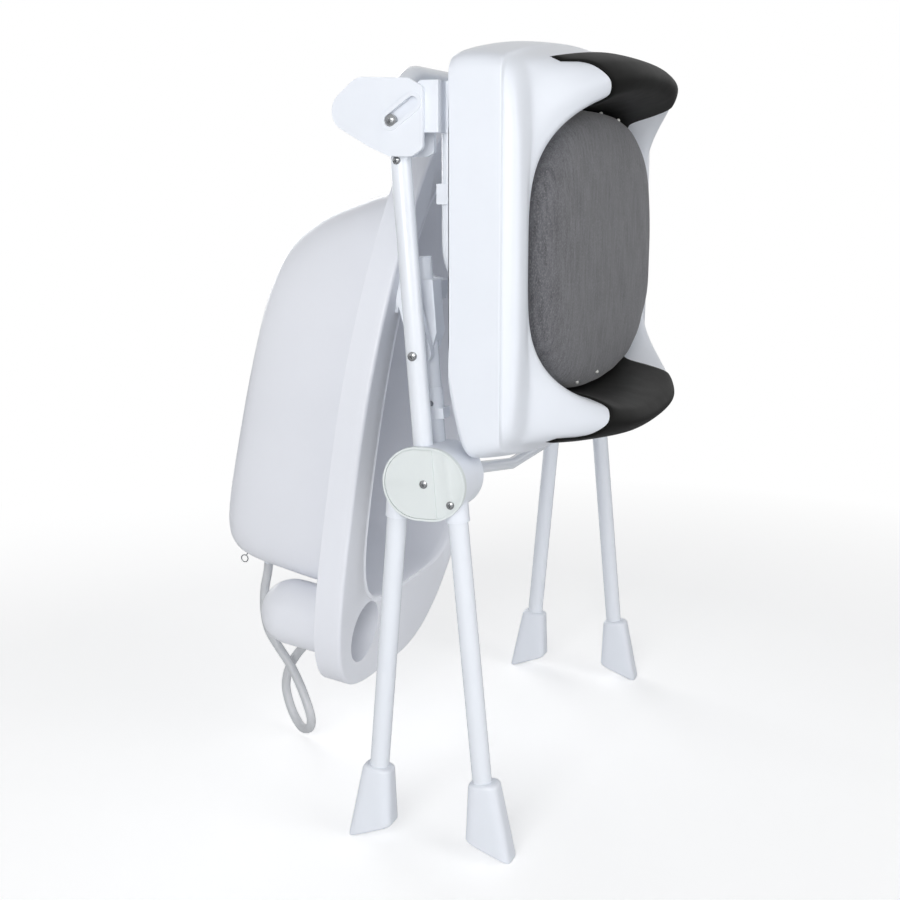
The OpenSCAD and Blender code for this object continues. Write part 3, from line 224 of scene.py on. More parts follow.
# Soft PVC, extruded: milky and a little see-through, with a broad dull gloss.
hose_vinyl = bpy.data.materials.new("milky_soft_vinyl")
hose_vinyl.use_nodes = True
vinyl = hose_vinyl.node_tree
vinyl_shader = vinyl.nodes["Principled BSDF"]
vinyl_shader.inputs["Roughness"].default_value = 0.38
vinyl_shader.inputs["IOR"].default_value = 1.53
vinyl_shader.inputs["Transmission Weight"].default_value = 0.12
here = add(vinyl, "ShaderNodeTexCoord")
cloudy = add(vinyl, "ShaderNodeTexNoise", {"Scale": 1 / 0.030, "Detail": 3.0},
             {"Vector": here.outputs["Object"]})
milk = add(vinyl, "ShaderNodeMix", {"data_type": "RGBA", 6: linear("#CFD1D4"), 7: linear("#DBDDE0")},
           {0: cloudy.outputs["Fac"]})
vinyl.links.new(milk.outputs[2], vinyl_shader.inputs["Base Color"])
hose_curve.materials.append(hose_vinyl)
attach(drain_hose, "tub")
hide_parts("drain_hose")

# Frame tubes. Steel tube, 25 mm in the outer frame and the legs and 22 mm in the inner arms, bent
# cold and powder coated in white. The rail under the table is 16 mm tube in the same coat.
BODY_OF = {node: body for body, nodes in frame["record"]["behaviour"]["bodies"].items()
           for node in nodes}


def new_finish(name, base, tone, spot, roughness, ior, bump, grain, strength, coat=0.0, metallic=0.0):
    """A finish whose colour drifts between two tones over patches of one size in metres, with
    its roughness drifting a little too, and a fine bump of another size in metres."""
    made = bpy.data.materials.new(name)
    made.use_nodes = True
    tree = made.node_tree
    shader = tree.nodes["Principled BSDF"]
    shader.inputs["Metallic"].default_value = metallic
    shader.inputs["Coat Weight"].default_value = coat
    shader.inputs["Coat Roughness"].default_value = 0.12
    if ior:
        shader.inputs["IOR"].default_value = ior
    spot_at = add(tree, "ShaderNodeTexCoord")
    drift = add(tree, "ShaderNodeTexNoise", {"Scale": 1 / spot, "Detail": 4.0, "Roughness": 0.55},
                {"Vector": spot_at.outputs["Object"]})
    colour = add(tree, "ShaderNodeMix", {"data_type": "RGBA", 6: linear(base), 7: linear(tone)},
                 {0: drift.outputs["Fac"]})
    tree.links.new(colour.outputs[2], shader.inputs["Base Color"])
    polish = add(tree, "ShaderNodeMapRange", {3: roughness * 0.88, 4: roughness * 1.12},
                 {0: drift.outputs["Fac"]})
    tree.links.new(polish.outputs[0], shader.inputs["Roughness"])
    fine = add(tree, "ShaderNodeTexNoise", {"Scale": 1 / grain, "Detail": 2.0},
               {"Vector": spot_at.outputs["Object"]})
    relief = add(tree, "ShaderNodeBump", {"Strength": strength, "Distance": bump},
                 {"Height": fine.outputs["Fac"]})
    tree.links.new(relief.outputs["Normal"], shader.inputs["Normal"])
    return made


# Polyester powder coat, sprayed and baked: white, glossy, with a faint orange peel of about 2 mm.
powder_coat = new_finish("baked_powder_coat", "#E9EDF4", "#EEF2F8", 0.06, 0.26, 1.5,
                         0.00004, 0.0022, 0.25, 0.3)
MERGE_WITHIN, FLAT_BELOW, SHARP_FROM = 0.00002, math.radians(0.6), math.radians(32)


def moulded(node, finish, soften=0.0):
    """A merged copy of a CAD node, in its place and on its body, with its sharp edges turned over
    by a small radius in metres."""
    mesh = frame["nodes"][node].data.copy()
    shape = bmesh.new()
    shape.from_mesh(mesh)
    bmesh.ops.remove_doubles(shape, verts=shape.verts, dist=MERGE_WITHIN)
    bmesh.ops.dissolve_limit(shape, angle_limit=FLAT_BELOW, verts=shape.verts, edges=shape.edges)
    shape.to_mesh(mesh)
    shape.free()
    mesh.shade_smooth()
    mesh.set_sharp_from_angle(angle=SHARP_FROM)
    mesh.materials.clear()
    mesh.materials.append(finish)
    made = bpy.data.objects.new(node + "_finished", mesh)
    mesh.name = made.name
    bpy.context.collection.objects.link(made)
    if soften:
        edge = made.modifiers.new("soft_edges", "BEVEL")
        edge.width = soften
        edge.segments = 3
        edge.limit_method = "ANGLE"
        edge.angle_limit = SHARP_FROM
        edge.harden_normals = True
    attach(made, BODY_OF[node])
    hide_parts(node)


for tube in ("outer_frame_tube", "outer_leg_near", "outer_leg_far", "inner_leg_near", "inner_leg_far",
             "inner_arm_near", "inner_arm_far", "table_rail"):
    moulded(tube, powder_coat)

# Feet. Moulded polypropylene boots pressed on the ends of the legs, with blunt toes, generous
# edges and soles that come level when the stand is open.
# Polypropylene, moulded in a lightly sparked tool: white, half gloss, with a very fine grain.
white_plastic = new_finish("moulded_white_polypropylene", "#E8ECF3", "#EDF1F8", 0.09, 0.34, 1.49,
                           0.00003, 0.0016, 0.2)
SIDE_OF = {"near": -1, "far": 1}
LEG_WAY = {"outer": 1, "inner": -1}
# Toe, heel and the two top corners of a foot: distance from the hub's middle line, and height.
TOE, HEEL = np.array((113.0, 0.0)), np.array((51.0, 23.8))
TOP_OUT, TOP_IN = np.array((91.5, 105.5)), np.array((53.0, 101.5))
TRACK, HALF_FOOT, FOOT_TAPER = 340, 19, 2.5
# Edge radius, worked out on a foot 100 high, and squareness at the sole with its loss to the top.
FOOT_EDGE, FOOT_HIGH = 6, 100
SOLE_SQUARE, SQUARE_LOSS = 5.0, 1.9
SOLE_RINGS, SIDE_RINGS = 7, 30


def squircle(angle, squareness):
    """Unit superellipse: cosine and sine over the root of the sum of their powers."""
    c, s = np.cos(angle), np.sin(angle)
    size = (np.abs(c) ** squareness + np.abs(s) ** squareness) ** (1 / squareness)
    return c / size, s / size


def ringed(name, rings, finish, body, nodes, crease=40):
    """A closed surface through rings of points, with quads between rings and a fan at each end. It
    rides on a body and takes the place of the nodes given."""
    m, n = rings.shape[:2]
    points = np.vstack([rings.reshape(-1, 3), rings[0].mean(0), rings[-1].mean(0)])
    i, j = (g.ravel() for g in np.meshgrid(np.arange(m - 1), np.arange(n), indexing="ij"))
    k = (j + 1) % n
    quads = np.stack([i * n + j, i * n + k, (i + 1) * n + k, (i + 1) * n + j], -1)
    j = np.arange(n)
    first = np.stack([np.full(n, m * n), (j + 1) % n, j], -1)
    last = np.stack([np.full(n, m * n + 1), (m - 1) * n + j, (m - 1) * n + (j + 1) % n], -1)
    mesh = bpy.data.meshes.new(name)
    mesh.from_pydata(points.tolist(), [], quads.tolist() + first.tolist() + last.tolist())
    shape = bmesh.new()
    shape.from_mesh(mesh)
    bmesh.ops.recalc_face_normals(shape, faces=shape.faces)
    shape.to_mesh(mesh)
    shape.free()
    mesh.shade_smooth()
    mesh.set_sharp_from_angle(angle=math.radians(crease))
    mesh.materials.append(finish)
    made = bpy.data.objects.new(name, mesh)
    bpy.context.collection.objects.link(made)
    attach(made, body)
    if nodes:
        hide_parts(*nodes)
    return made


quarter = np.linspace(0, math.pi / 2, SOLE_RINGS)
climb = np.concatenate([
    FOOT_EDGE * (1 - np.cos(quarter)),
    np.linspace(FOOT_EDGE, FOOT_HIGH - FOOT_EDGE, SIDE_RINGS)[1:],
    FOOT_HIGH - FOOT_EDGE * (1 - np.sin(quarter[1:])),
])[:, None] / FOOT_HIGH
draw_in = np.concatenate([
    FOOT_EDGE * (1 - np.sin(quarter)),
    np.zeros(SIDE_RINGS - 1),
    FOOT_EDGE * (1 - np.cos(quarter[1:])),
])[:, None]
foot_turn = np.linspace(0, 2 * math.pi, 96, endpoint=False)[None, :]
foot_p, foot_q = squircle(foot_turn, SOLE_SQUARE - SQUARE_LOSS * climb ** 0.7)
# Each ring runs from a point on the line up from the heel to one on the line up from the toe.
outer_rail = TOE + climb * (TOP_OUT - TOE)
inner_rail = HEEL + climb * (TOP_IN - HEEL)
half_run = (outer_rail - inner_rail) / 2
shortened = half_run * (1 - draw_in / np.linalg.norm(half_run, axis=1)[:, None])
half_depth = HALF_FOOT - FOOT_TAPER * climb ** 1.5 - draw_in
profile = ((outer_rail + inner_rail) / 2)[:, None, :] + shortened[:, None, :] * foot_p[..., None]
for side_name, side in SIDE_OF.items():
    for leg, way in LEG_WAY.items():
        foot_rings = np.stack([
            profile[..., 0] * way, TRACK * side + half_depth * foot_q, profile[..., 1]], -1) / 1000
        foot_rings += (HUB[0], 0, -foot_rings[..., 2].min())
        foot = f"{leg}_foot_{side_name}"
        ringed(foot + "_boot", foot_rings, white_plastic, BODY_OF[foot], [foot], 50)

# Hubs. Two moulded halves on each side turn on a steel bolt: the outer one is screwed to the arm
# and the outer leg, and the inner one holds the inner arm and the inner leg.
for hub in ("hub_body_near", "hub_body_far", "inner_hub_near", "inner_hub_far"):
    moulded(hub, white_plastic, 0.0012)
# Acetal, moulded: a slightly greener and greyer white than the rest, smooth and half gloss.
cover_plastic = new_finish("moulded_acetal", "#DFE5E4", "#E4E9E9", 0.05, 0.32, 1.48, 0.00003, 0.0016, 0.18)
for cover in ("hub_cover_near", "hub_cover_far"):
    moulded(cover, cover_plastic, 0.0005)

# Fastenings. Nickel plated steel bolts, pins, screws and buttons, and the small wire ring by the
# drain, all bright from the plating bath.
# Nickel plate over steel: bright and neutral, with a slight haze and fine turning marks.
nickel_plate = new_finish("bright_nickel_plate", "#8F9193", "#A2A4A6", 0.004, 0.24, 0,
                          0.00002, 0.0006, 0.2, 0.0, 1.0)
for steel in ("hub_bolt_near", "hub_bolt_far", "hub_screws", "stop_screws", "tub_pivot_near",
              "tub_pivot_far", "collar_button_near", "collar_button_far", "table_pin_near",
              "table_pin_far", "hanger_screws", "wire_loop"):
    moulded(steel, nickel_plate)
# Head radii in metres by node, and the head's form in shares of its radius.
HEAD_R = {"hub_bolt": 0.0046, "hub_screws": 0.0042, "stop_screws": 0.0040, "tub_pivot": 0.0050,
          "table_pin": 0.0050}
HEAD_DOME, HEAD_EDGE, HEAD_SUNK = 0.28, 0.10, 0.12
# Depth of the cross, run of its side walls and where they end in runs, its reach and end slopes.
CROSS_DEPTH, WALL_RUN, WALL_END, CROSS_REACH, CROSS_RAMP = 0.30, 0.09, 1.6, 0.62, 0.14
FACE_WITHIN = 0.0008


def cross_head(name, centre, radius, side, body):
    """Domed head facing the side: a paraboloid over a disc, less a cross of two tapered slots, each
    the product of a ramp over the distance from its middle line and one over that from the axis."""
    radii = np.linspace(1, 0.02, 26)[:, None]
    turn = np.linspace(0, 2 * math.pi, 64, endpoint=False)[None, :]
    u, v = radii * np.cos(turn), radii * np.sin(turn)
    from_line, from_axis = np.minimum(np.abs(u), np.abs(v)), np.maximum(np.abs(u), np.abs(v))
    cross = (np.clip(WALL_END - from_line / WALL_RUN, 0, 1)
             * np.clip((CROSS_REACH - from_axis) / CROSS_RAMP, 0, 1))
    top = HEAD_DOME * (1 - radii ** 2) + HEAD_EDGE - CROSS_DEPTH * cross
    dome = np.stack([u, side * top, v], -1)
    base = np.stack([u[0], 0 * u[0] - side * HEAD_SUNK, v[0]], -1)[None]
    ringed(name, np.concatenate([base, dome]) * radius + centre, nickel_plate, body, [],
           50)


for side_name, side in SIDE_OF.items():
    for fastening, radius in HEAD_R.items():
        node = fastening if fastening in BODY_OF else f"{fastening}_{side_name}"
        corners = np.array([v.co for v in frame["nodes"][node].data.vertices])
        corners = corners[np.sign(corners[:, 1]) == side]
        face = side * np.abs(corners[:, 1]).max()
        rim_points = corners[np.abs(corners[:, 1] - face) < FACE_WITHIN]
        middle = (rim_points.max(0) + rim_points.min(0)) / 2
        cross_head(f"{fastening}_head_{side_name}", np.array([middle[0], face, middle[2]]), radius,
                   side, BODY_OF[node])

# Fittings on the inner arms. Moulded caps, boxes that the open table rests on, and collars with
# a hole for the sprung button.
for fitting in ("arm_cap_near", "arm_cap_far", "arm_bracket_near", "arm_bracket_far",
                "arm_collar_near", "arm_collar_far"):
    moulded(fitting, white_plastic, 0.0008)

# Wings. Two moulded plates clamp each arm near its top, and the front one has the banded slot
# that the table's pin slides in.
for wing in ("wing_front_near", "wing_front_far", "wing_back_near", "wing_back_far"):
    moulded(wing, white_plastic, 0.0012)

# Arms and clips of the table. Moulded sleeves that turn on the pins and hold the rail, the clips
# that fix the rail to the base, and the base panel itself.
for holder in ("table_arm_near", "table_arm_far", "rail_clips", "table_base"):
    moulded(holder, white_plastic, 0.0006)

# Table shell. One large polypropylene moulding, 700 mm wide: a tray with a deep seat for the pad,
# rounded side rims, and two ends that swell up into the carrying grips.
HALF_WIDTH, TABLE_LENGTH, END_BULGE = 350, 474, 36
RIM_RISE, UPPER_GRIP, LOWER_GRIP, TABLE_WALL = 84.5, 86, 96, 3
TABLE_OUT, TABLE_UP = 28.5, 267
GRIP_FADE, BELL_SQUARE, BELL_SOFT = 0.86, 3.2, 1.2
# Rings from the lower edge over the crest down into the seat. Insets at the sides, the upper end
# and the lower end as shares of the half width, the rise as a share of the rim's, the share of the
# grip's lift, the squareness, and how far the outer normal points out, from 1 to -1.
table_ring_shares = np.array([
    [0.000, 0.012, 0.250, 0.000, 0.00, 34, 1],
    [0.000, 0.003, 0.120, 0.095, 0.00, 34, 1],
    [0.000, 0.000, 0.012, 0.270, 0.00, 34, 1],
    [0.000, 0.014, 0.040, 0.735, 0.00, 34, 1],
    [0.014, 0.026, 0.056, 0.765, 0.08, 26, 1],
    [0.026, 0.055, 0.085, 0.910, 0.50, 13, 1],
    [0.050, 0.090, 0.112, 0.980, 0.86, 7, 0.8],
    [0.090, 0.132, 0.148, 1.000, 1.00, 5, 0],
    [0.130, 0.170, 0.185, 0.975, 0.94, 4.2, -0.8],
    [0.165, 0.203, 0.215, 0.888, 0.66, 3.8, -1],
    [0.187, 0.230, 0.236, 0.757, 0.25, 3.5, -1],
    [0.200, 0.246, 0.250, 0.710, 0.00, 3.4, -1],
    [0.543, 0.543, 0.543, 0.710, 0.00, 3, 0],
])


def on_table(ring, angle, out=0.0, up=0.0):
    """Place on the table shell at a ring number and an angle: superellipses whose ends bulge by a
    parabola and whose crest rises by a bell towards the grips; out and up move it off the shell."""
    ring, angle, out, up = np.broadcast_arrays(ring, angle, out, up)
    row = eased(table_ring_shares, ring.ravel()).reshape(*ring.shape, 7)
    p, q = squircle(angle, row[..., 5])
    out = out * row[..., 6]
    y = (HALF_WIDTH * (1 - row[..., 0]) + out) * p
    end = TABLE_LENGTH / 2 + END_BULGE * (1 - (y / HALF_WIDTH) ** 2)
    inset = np.where(q > 0, row[..., 1], row[..., 2]) * HALF_WIDTH - out
    bell = np.maximum(0, 1 - np.abs(y / (HALF_WIDTH * GRIP_FADE)) ** BELL_SQUARE) ** BELL_SOFT
    lift = ((1 + q) * UPPER_GRIP + (1 - q) * LOWER_GRIP) / 2
    rise = row[..., 3] * RIM_RISE + row[..., 4] * lift * bell + up
    return np.stack([rise + TABLE_OUT, y, (end - inset) * q + TABLE_UP], -1) / 1000 + HUB


table_turn = np.linspace(0, 2 * math.pi, 384, endpoint=False)[None, :]
table_rings = np.linspace(0, len(table_ring_shares) - 1, 97)[:, None]
table_top = on_table(table_rings, table_turn)
wall_below = on_table(table_rings, table_turn, -TABLE_WALL, -TABLE_WALL)
wall_below[0] = on_table(0.0, table_turn[0], -TABLE_WALL, 0.0)
ringed("table_shell_moulding", np.concatenate([wall_below[::-1], table_top]), white_plastic, "table",
       ["table_shell"])

# Grips. Two sleeves of black thermoplastic rubber moulded over the raised ends of the shell. At
# both ends of each a rounded white tongue of the shell runs out over the crest between two tips.
# Thermoplastic rubber, moulded: warm near black, dull, with a fine even grain.
grip_rubber = new_finish("moulded_soft_rubber", "#0B0B0A", "#10100F", 0.03, 0.55, 1.35,
                         0.00006, 0.0011, 0.5)
grip_rubber.node_tree.nodes["Principled BSDF"].inputs["Specular IOR Level"].default_value = 0.18
GRIP_DEPTH, GRIP_SUNK, GRIP_REACH = 2.6, 0.4, 36.0
# In ring numbers of the table: the sleeve's middle and half width, where it thins out by the
# seat, and the tongue's middle and half width, with its run in degrees.
GRIP_RING, GRIP_HALF = 7.85, 3.05
THIN_RING, THIN_RUN, THIN_SHARE = 11.0, 0.6, 0.1
TONGUE_RING, TONGUE_HALF, TONGUE_RUN = 7.7, 2.3, 5.0
across = np.linspace(-1, 1, 61)[:, None]
run_share = np.linspace(-1, 1, 161)[None, :]
ring = GRIP_RING + GRIP_HALF * across
tongue = np.maximum(0, 1 - (np.abs(ring - TONGUE_RING) / TONGUE_HALF) ** 5) ** (1 / 3)
reach = math.radians(GRIP_REACH) - math.radians(TONGUE_RUN) * tongue
# High powers keep the sleeve at its full depth up to a narrow round edge.
edge = np.maximum(np.abs(across) ** 22, np.abs(run_share) ** 60)
thinned = np.clip((THIN_RING - ring) / THIN_RUN, THIN_SHARE, 1)
depth = GRIP_DEPTH * np.sqrt(np.maximum(0, 1 - edge)) * thinned
for grip_name, middle, node in (("grip_top_sleeve", 0.5 * math.pi, "grip_top"),
                                ("grip_bottom_sleeve", 1.5 * math.pi, "grip_bottom")):
    angle = middle + reach * run_share
    outer_skin = on_table(ring, angle, depth, depth)
    inner_skin = on_table(ring, angle, -GRIP_SUNK, -GRIP_SUNK)
    ringed(grip_name, np.concatenate([inner_skin[::-1], outer_skin]).transpose(1, 0, 2), grip_rubber,
           "table", [node], 60)

# Pad. A foam cushion in a grey heather cover that nearly fills the seat from rim to rim. It is
# crowned, its sides pull in under the edge, and small tacks hold it by the grips.
PAD_EDGE, PAD_HEIGHT, PAD_GAP, PAD_CLEAR = 26, 52, 2, 0.25
SEAT_SIDE, SEAT_END, SEAT_RISE, PAD_SQUARE = 0.8, 0.246, 0.71, 3.3
PAD_RINGS, PAD_TURNS = 64, 300
# Rings from the seat up over the crown: inset in edge widths and share of the pad's height.
pad_ring_shares = np.array([
    [0.30, 0.000], [0.06, 0.035], [-0.02, 0.158], [0.00, 0.340], [0.10, 0.520], [0.30, 0.670],
    [0.75, 0.800], [1.60, 0.900], [3.20, 0.970], [5.00, 0.998],
])
last_row = len(pad_ring_shares) - 1
pad_row = eased(pad_ring_shares, np.linspace(0, last_row, PAD_RINGS))
pad_turn = np.linspace(0, 2 * math.pi, PAD_TURNS, endpoint=False)[None, :]
pad_p, pad_q = squircle(pad_turn, PAD_SQUARE)
pad_inset = pad_row[:, :1] * PAD_EDGE + PAD_GAP
pad_y = (HALF_WIDTH * SEAT_SIDE - pad_inset) * pad_p
pad_end = TABLE_LENGTH / 2 + END_BULGE * (1 - (pad_y / HALF_WIDTH) ** 2)
pad_z = (pad_end - SEAT_END * HALF_WIDTH - pad_inset) * pad_q
pad_x = SEAT_RISE * RIM_RISE + PAD_CLEAR + pad_row[:, 1:] * PAD_HEIGHT + 0 * pad_turn
pad_rings = np.stack([pad_x + TABLE_OUT, pad_y, pad_z + TABLE_UP], -1) / 1000 + HUB
# The crown closes over the last ring, and shallow swells of the foam show all over the cover: two
# crossed waves and a finer slanting one, in radians per metre across and up.
CROWN_RISE, SWELL, SWELL_FROM = 0.0006, 0.0007, 0.03
WAVE_ACROSS, WAVE_UP, FINE_ACROSS, FINE_UP, FINE_SHARE = 41, 33, 83, 57, 0.6
close_up = np.linspace(0.97, 0.03, 24)[:, None, None]
pad_middle = pad_rings[-1].mean(0)
crown = pad_middle + (pad_rings[-1] - pad_middle) * close_up
crown[..., 0] += CROWN_RISE * (1 - close_up[..., 0] ** 2)
pad_rings = np.concatenate([pad_rings, crown])
swell = (np.sin(pad_rings[..., 1] * WAVE_ACROSS + 1.3) * np.sin(pad_rings[..., 2] * WAVE_UP + 0.4)
         + FINE_SHARE * np.sin(pad_rings[..., 1] * FINE_ACROSS + pad_rings[..., 2] * FINE_UP))
above_seat = pad_rings[..., 0] - pad_rings[..., 0].min()
pad_rings[..., 0] += SWELL * swell * np.clip(above_seat / SWELL_FROM, 0, 1)

# Knitted polyester cover, melange yarn: mid grey with darker and lighter threads of about 1 mm
# drawn as fine specks, faint vertical streaks of the knit, and a soft bloom at a low angle.
heather_knit = bpy.data.materials.new("heather_knit_cover")
heather_knit.use_nodes = True
knit = heather_knit.node_tree
knit_shader = knit.nodes["Principled BSDF"]
knit_shader.inputs["Roughness"].default_value = 0.92
knit_shader.inputs["Sheen Weight"].default_value = 0.25
knit_shader.inputs["Sheen Roughness"].default_value = 0.5
knit_shader.inputs["Specular IOR Level"].default_value = 0.25
knit_at = add(knit, "ShaderNodeTexCoord")
streak_at = add(knit, "ShaderNodeMapping", {"Scale": (1.0, 1.0, 0.15)},
                {"Vector": knit_at.outputs["Object"]})
speck_at = add(knit, "ShaderNodeMapping", {"Scale": (1.0, 1.0, 0.5)},
               {"Vector": knit_at.outputs["Object"]})
streaks = add(knit, "ShaderNodeTexNoise", {"Scale": 1 / 0.0055, "Detail": 3.0, "Roughness": 0.6},
              {"Vector": streak_at.outputs[0]})
grey_run = add(knit, "ShaderNodeMapRange", {1: 0.3, 2: 0.7}, {0: streaks.outputs["Fac"]})
ground = add(knit, "ShaderNodeMix", {"data_type": "RGBA", 6: linear("#505053"), 7: linear("#6C6C70")},
             {0: grey_run.outputs[0]})
specks = add(knit, "ShaderNodeTexNoise", {"Scale": 1 / 0.0014, "Detail": 2.0, "Roughness": 0.8},
             {"Vector": speck_at.outputs[0]})
light_thread = add(knit, "ShaderNodeMapRange", {1: 0.46, 2: 0.76, 4: 0.6}, {0: specks.outputs["Fac"]})
threads = add(knit, "ShaderNodeMix", {"data_type": "RGBA", 7: linear("#98989C")},
              {0: light_thread.outputs[0], 6: ground.outputs[2]})
knit.links.new(threads.outputs[2], knit_shader.inputs["Base Color"])
nap = add(knit, "ShaderNodeBump", {"Strength": 0.55, "Distance": 0.0004}, {"Height": specks.outputs["Fac"]})
knit.links.new(nap.outputs["Normal"], knit_shader.inputs["Normal"])
table_pad = ringed("table_pad_cushion", pad_rings, heather_knit, "table", ["table_pad"], 60)

# Tacks of the pad. Knots of white yarn that catch the cover by the ends of the grips: two at the
# upper edge and two at the lower one.
# Polyester yarn, undyed: off white and dull, with a fine fibrous bump.
white_yarn = new_finish("undyed_polyester_yarn", "#DADAD6", "#E6E6E2", 0.002, 0.8, 1.5,
                        0.0002, 0.0008, 0.6)
TACK_LONG, TACK_WIDE, TACK_KNOBS, KNOB_SHARE = 0.0062, 0.0022, 5, 0.25
# Row of the pad's table and angle around the pad at which each tack sits.
tacks = ((3.3, 85.0), (4.8, 74.5), (5.0, 245.0), (6.0, 261.5))
for tack, (tack_row, tack_angle) in enumerate(tacks, 1):
    ring_number = int(tack_row / last_row * (PAD_RINGS - 1))
    turn_number = int(tack_angle / 360 * PAD_TURNS)
    knot = pad_rings[ring_number, turn_number]
    along_edge = pad_rings[ring_number, turn_number + 1] - pad_rings[ring_number, turn_number - 1]
    along_edge /= np.linalg.norm(along_edge)
    outward = np.cross(along_edge, (0, 0, 1))
    upward = np.cross(outward, along_edge)
    share = np.cos(np.linspace(0.1, math.pi - 0.1, 15))[:, None]
    round_turn = np.linspace(0, 2 * math.pi, 20, endpoint=False)[None, :]
    girth = TACK_WIDE * np.sqrt(1 - share ** 2) * (1 + KNOB_SHARE * np.cos(TACK_KNOBS * share))
    tack_rings = (knot + (TACK_LONG * share + 0 * round_turn)[..., None] * along_edge
                  + (girth * np.cos(round_turn))[..., None] * outward
                  + (girth * np.sin(round_turn))[..., None] * upward)
    ringed(f"pad_tack_{tack}", tack_rings, white_yarn, "table", [], 80)

# Tub. One polypropylene moulding, 830 mm long: a bowl that deepens towards the foot, a flat rim
# with a skirt turned down all round, and a cup recess in the near corner of the foot end.
TUB_LENGTH, HALF_TUB, TUB_DEPTH, TUB_WALL, SKIRT, EDGE_R = 830, 254, 250, 3, 40, 5
NARROWS_BY, NARROWS_FROM, RIM_SQUARE, FAR_SQUARE = 0.55, 0.42, 5.0, 2.3
# Rings of the bowl from its mouth to its floor: foot and head wall as shares of the length, side
# wall as a share of the half width, depth by the foot and by the head, and squareness.
bowl_ring_shares = np.array([
    [0.146, 0.893, 0.790, 0.000, 0.000, 5],
    [0.150, 0.886, 0.768, 0.014, 0.014, 5],
    [0.153, 0.880, 0.756, 0.050, 0.050, 5],
    [0.157, 0.862, 0.742, 0.240, 0.205, 5.5],
    [0.162, 0.835, 0.725, 0.500, 0.420, 6],
    [0.167, 0.795, 0.700, 0.760, 0.660, 6],
    [0.176, 0.752, 0.655, 0.920, 0.810, 5.5],
    [0.200, 0.700, 0.570, 0.985, 0.872, 5],
    [0.350, 0.550, 0.250, 0.970, 0.910, 4],
])
tub_turn = np.linspace(0, 2 * math.pi, 360, endpoint=False)[None, :]


def tub_ring(foot, head, half, wall, deep_foot, deep_head, squareness, far_foot):
    """Superellipse from the foot to the head of the tub, with its depth running evenly between:
    it narrows by a parabola towards the head, and its far foot corner has its own squareness."""
    far = (tub_turn > math.pi / 2) & (tub_turn < math.pi)
    p, q = squircle(tub_turn, np.where(far, far_foot, squareness))
    share = (1 + p) / 2
    along = foot + (head - foot) * share
    beyond = np.maximum(0, along / TUB_LENGTH - NARROWS_FROM) / (1 - NARROWS_FROM)
    narrowing = 1 - NARROWS_BY * beyond ** 2
    return in_tub(along, (half * narrowing + wall) * q, deep_foot + (deep_head - deep_foot) * share)


def bowl(at, wall):
    """Rings of the bowl at ring numbers, moved out by a wall."""
    row = eased(bowl_ring_shares, at)[:, :, None].transpose(1, 0, 2)
    return tub_ring(row[0] * TUB_LENGTH - wall, row[1] * TUB_LENGTH + wall, row[2] * HALF_TUB, wall,
                    row[3] * TUB_DEPTH + wall, row[4] * TUB_DEPTH + wall, row[5], row[5])


def rim(inset, deep):
    """Rings of the rim and its skirt at insets from the outline and depths, in millimetres."""
    inset, deep = (np.asarray(v, float)[:, None] for v in (inset, deep))
    return tub_ring(inset, TUB_LENGTH - inset, HALF_TUB, -inset, deep, deep, RIM_SQUARE, FAR_SQUARE)


# From the middle of the floor up the inside, over the mouth and out along the rim, round the edge
# of the skirt, and back under the rim and down the outside.
BLUNT, SKIRT_FROM, FILLET, WALL_RINGS, MOUTH_RINGS = 0.4, 12, 2, 71, 7
floor_row = len(bowl_ring_shares) - 1
tub_rings = np.concatenate([
    bowl(np.linspace(floor_row, 1, WALL_RINGS), -TUB_WALL),
    bowl(np.linspace(1, 0, MOUTH_RINGS)[1:], 0.0),
    rim(EDGE_R * (1 - np.sin(quarter)), EDGE_R * (1 - np.cos(quarter))),
    rim([0, 0, BLUNT, TUB_WALL - BLUNT, TUB_WALL],
        [SKIRT_FROM, SKIRT - BLUNT, SKIRT, SKIRT, SKIRT - BLUNT]),
    rim([TUB_WALL, TUB_WALL, TUB_WALL + FILLET, TUB_WALL + EDGE_R],
        [SKIRT_FROM, EDGE_R + FILLET, TUB_WALL + FILLET, TUB_WALL]),
    bowl(np.linspace(1, floor_row, WALL_RINGS), 0.0),
])
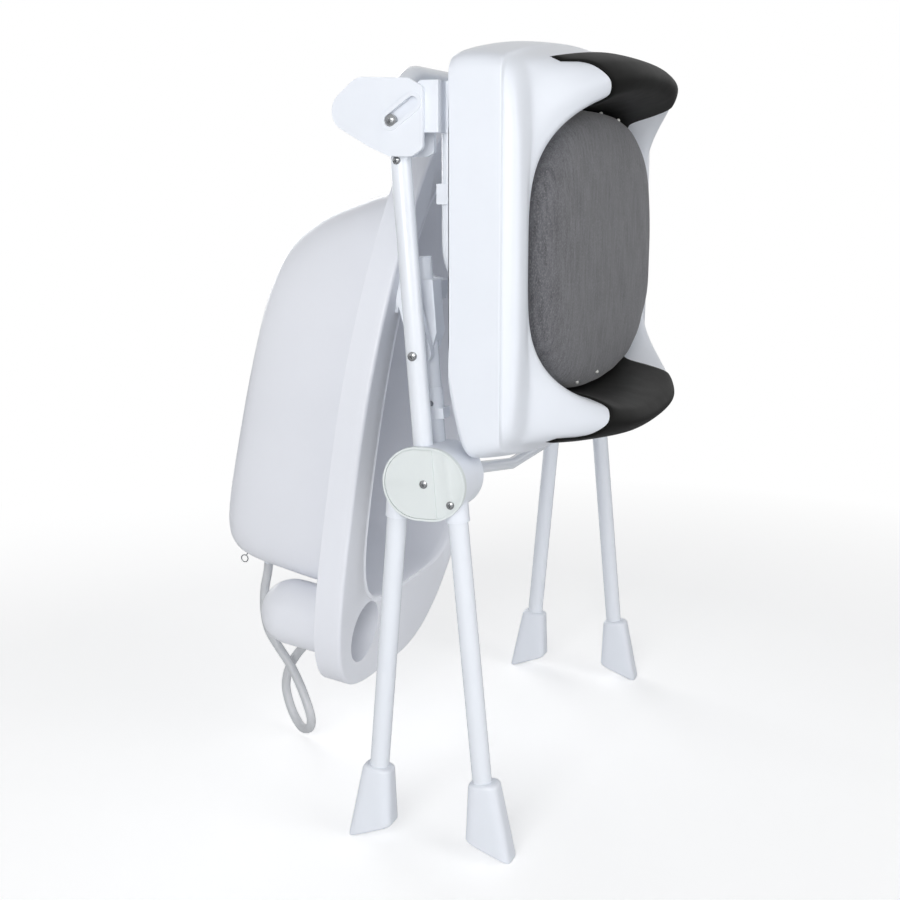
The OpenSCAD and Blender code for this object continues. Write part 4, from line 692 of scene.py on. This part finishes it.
# Polypropylene, moulded thin: greyer than the table, semi gloss, and it passes a little light.
tub_plastic = new_finish("moulded_grey_white_polypropylene", "#ECEEF4", "#F1F3F9", 0.12, 0.30, 1.49,
                         0.00003, 0.0018, 0.15)
CUP_D, CUP_DEPTH, CUP_ALONG, CUP_ACROSS, CUP_OVER = 90, 159, 90, -153, 2.0
TUB_CREASE = 34
tub_shell = ringed("tub_shell_moulding", tub_rings, tub_plastic, "tub", ["tub_shell"],
                   TUB_CREASE)


def cup_form(name, radius, top, deep):
    """A round cup as a profile turned about its axis: a straight wall and a half sphere below."""
    dome = np.linspace(0, math.pi / 2, 25)[:-1]
    r = np.concatenate([[radius, radius], radius * np.cos(dome)])
    d = np.concatenate([[top, deep - radius], deep - radius + radius * np.sin(dome)])
    turn = np.linspace(0, 2 * math.pi, 96, endpoint=False)
    rings = in_tub(CUP_ALONG + r[:, None] * np.cos(turn), CUP_ACROSS + r[:, None] * np.sin(turn),
                   d[:, None])
    return ringed(name, rings, tub_plastic, "tub", [])


cup_wall = cup_form("cup_wall", CUP_D / 2 + TUB_WALL, TUB_WALL / 2, CUP_DEPTH + TUB_WALL)
cup_hollow = cup_form("cup_hollow", CUP_D / 2, -CUP_OVER, CUP_DEPTH)
for other, kind in ((cup_wall, "UNION"), (cup_hollow, "DIFFERENCE")):
    joint = tub_shell.modifiers.new(kind.lower(), "BOOLEAN")
    joint.operation = kind
    joint.object = other
    joint.solver = "MANIFOLD"
shaped = bpy.data.meshes.new_from_object(tub_shell.evaluated_get(bpy.context.evaluated_depsgraph_get()))
tub_shell.modifiers.clear()
tub_shell.data = shaped
shaped.shade_smooth()
shaped.set_sharp_from_angle(angle=math.radians(TUB_CREASE))
for other in (cup_wall, cup_hollow):
    bpy.data.objects.remove(other)

# Small parts of the tub. Moulded hangers screwed to the rim, the drain outlet in the foot wall,
# the holder for the end of the hose, and the rubber plug inside.
for small in ("tub_hanger_near", "tub_hanger_far", "drain_outlet", "hose_holder"):
    moulded(small, white_plastic, 0.0006)
moulded("drain_plug", grip_rubber, 0.0004)
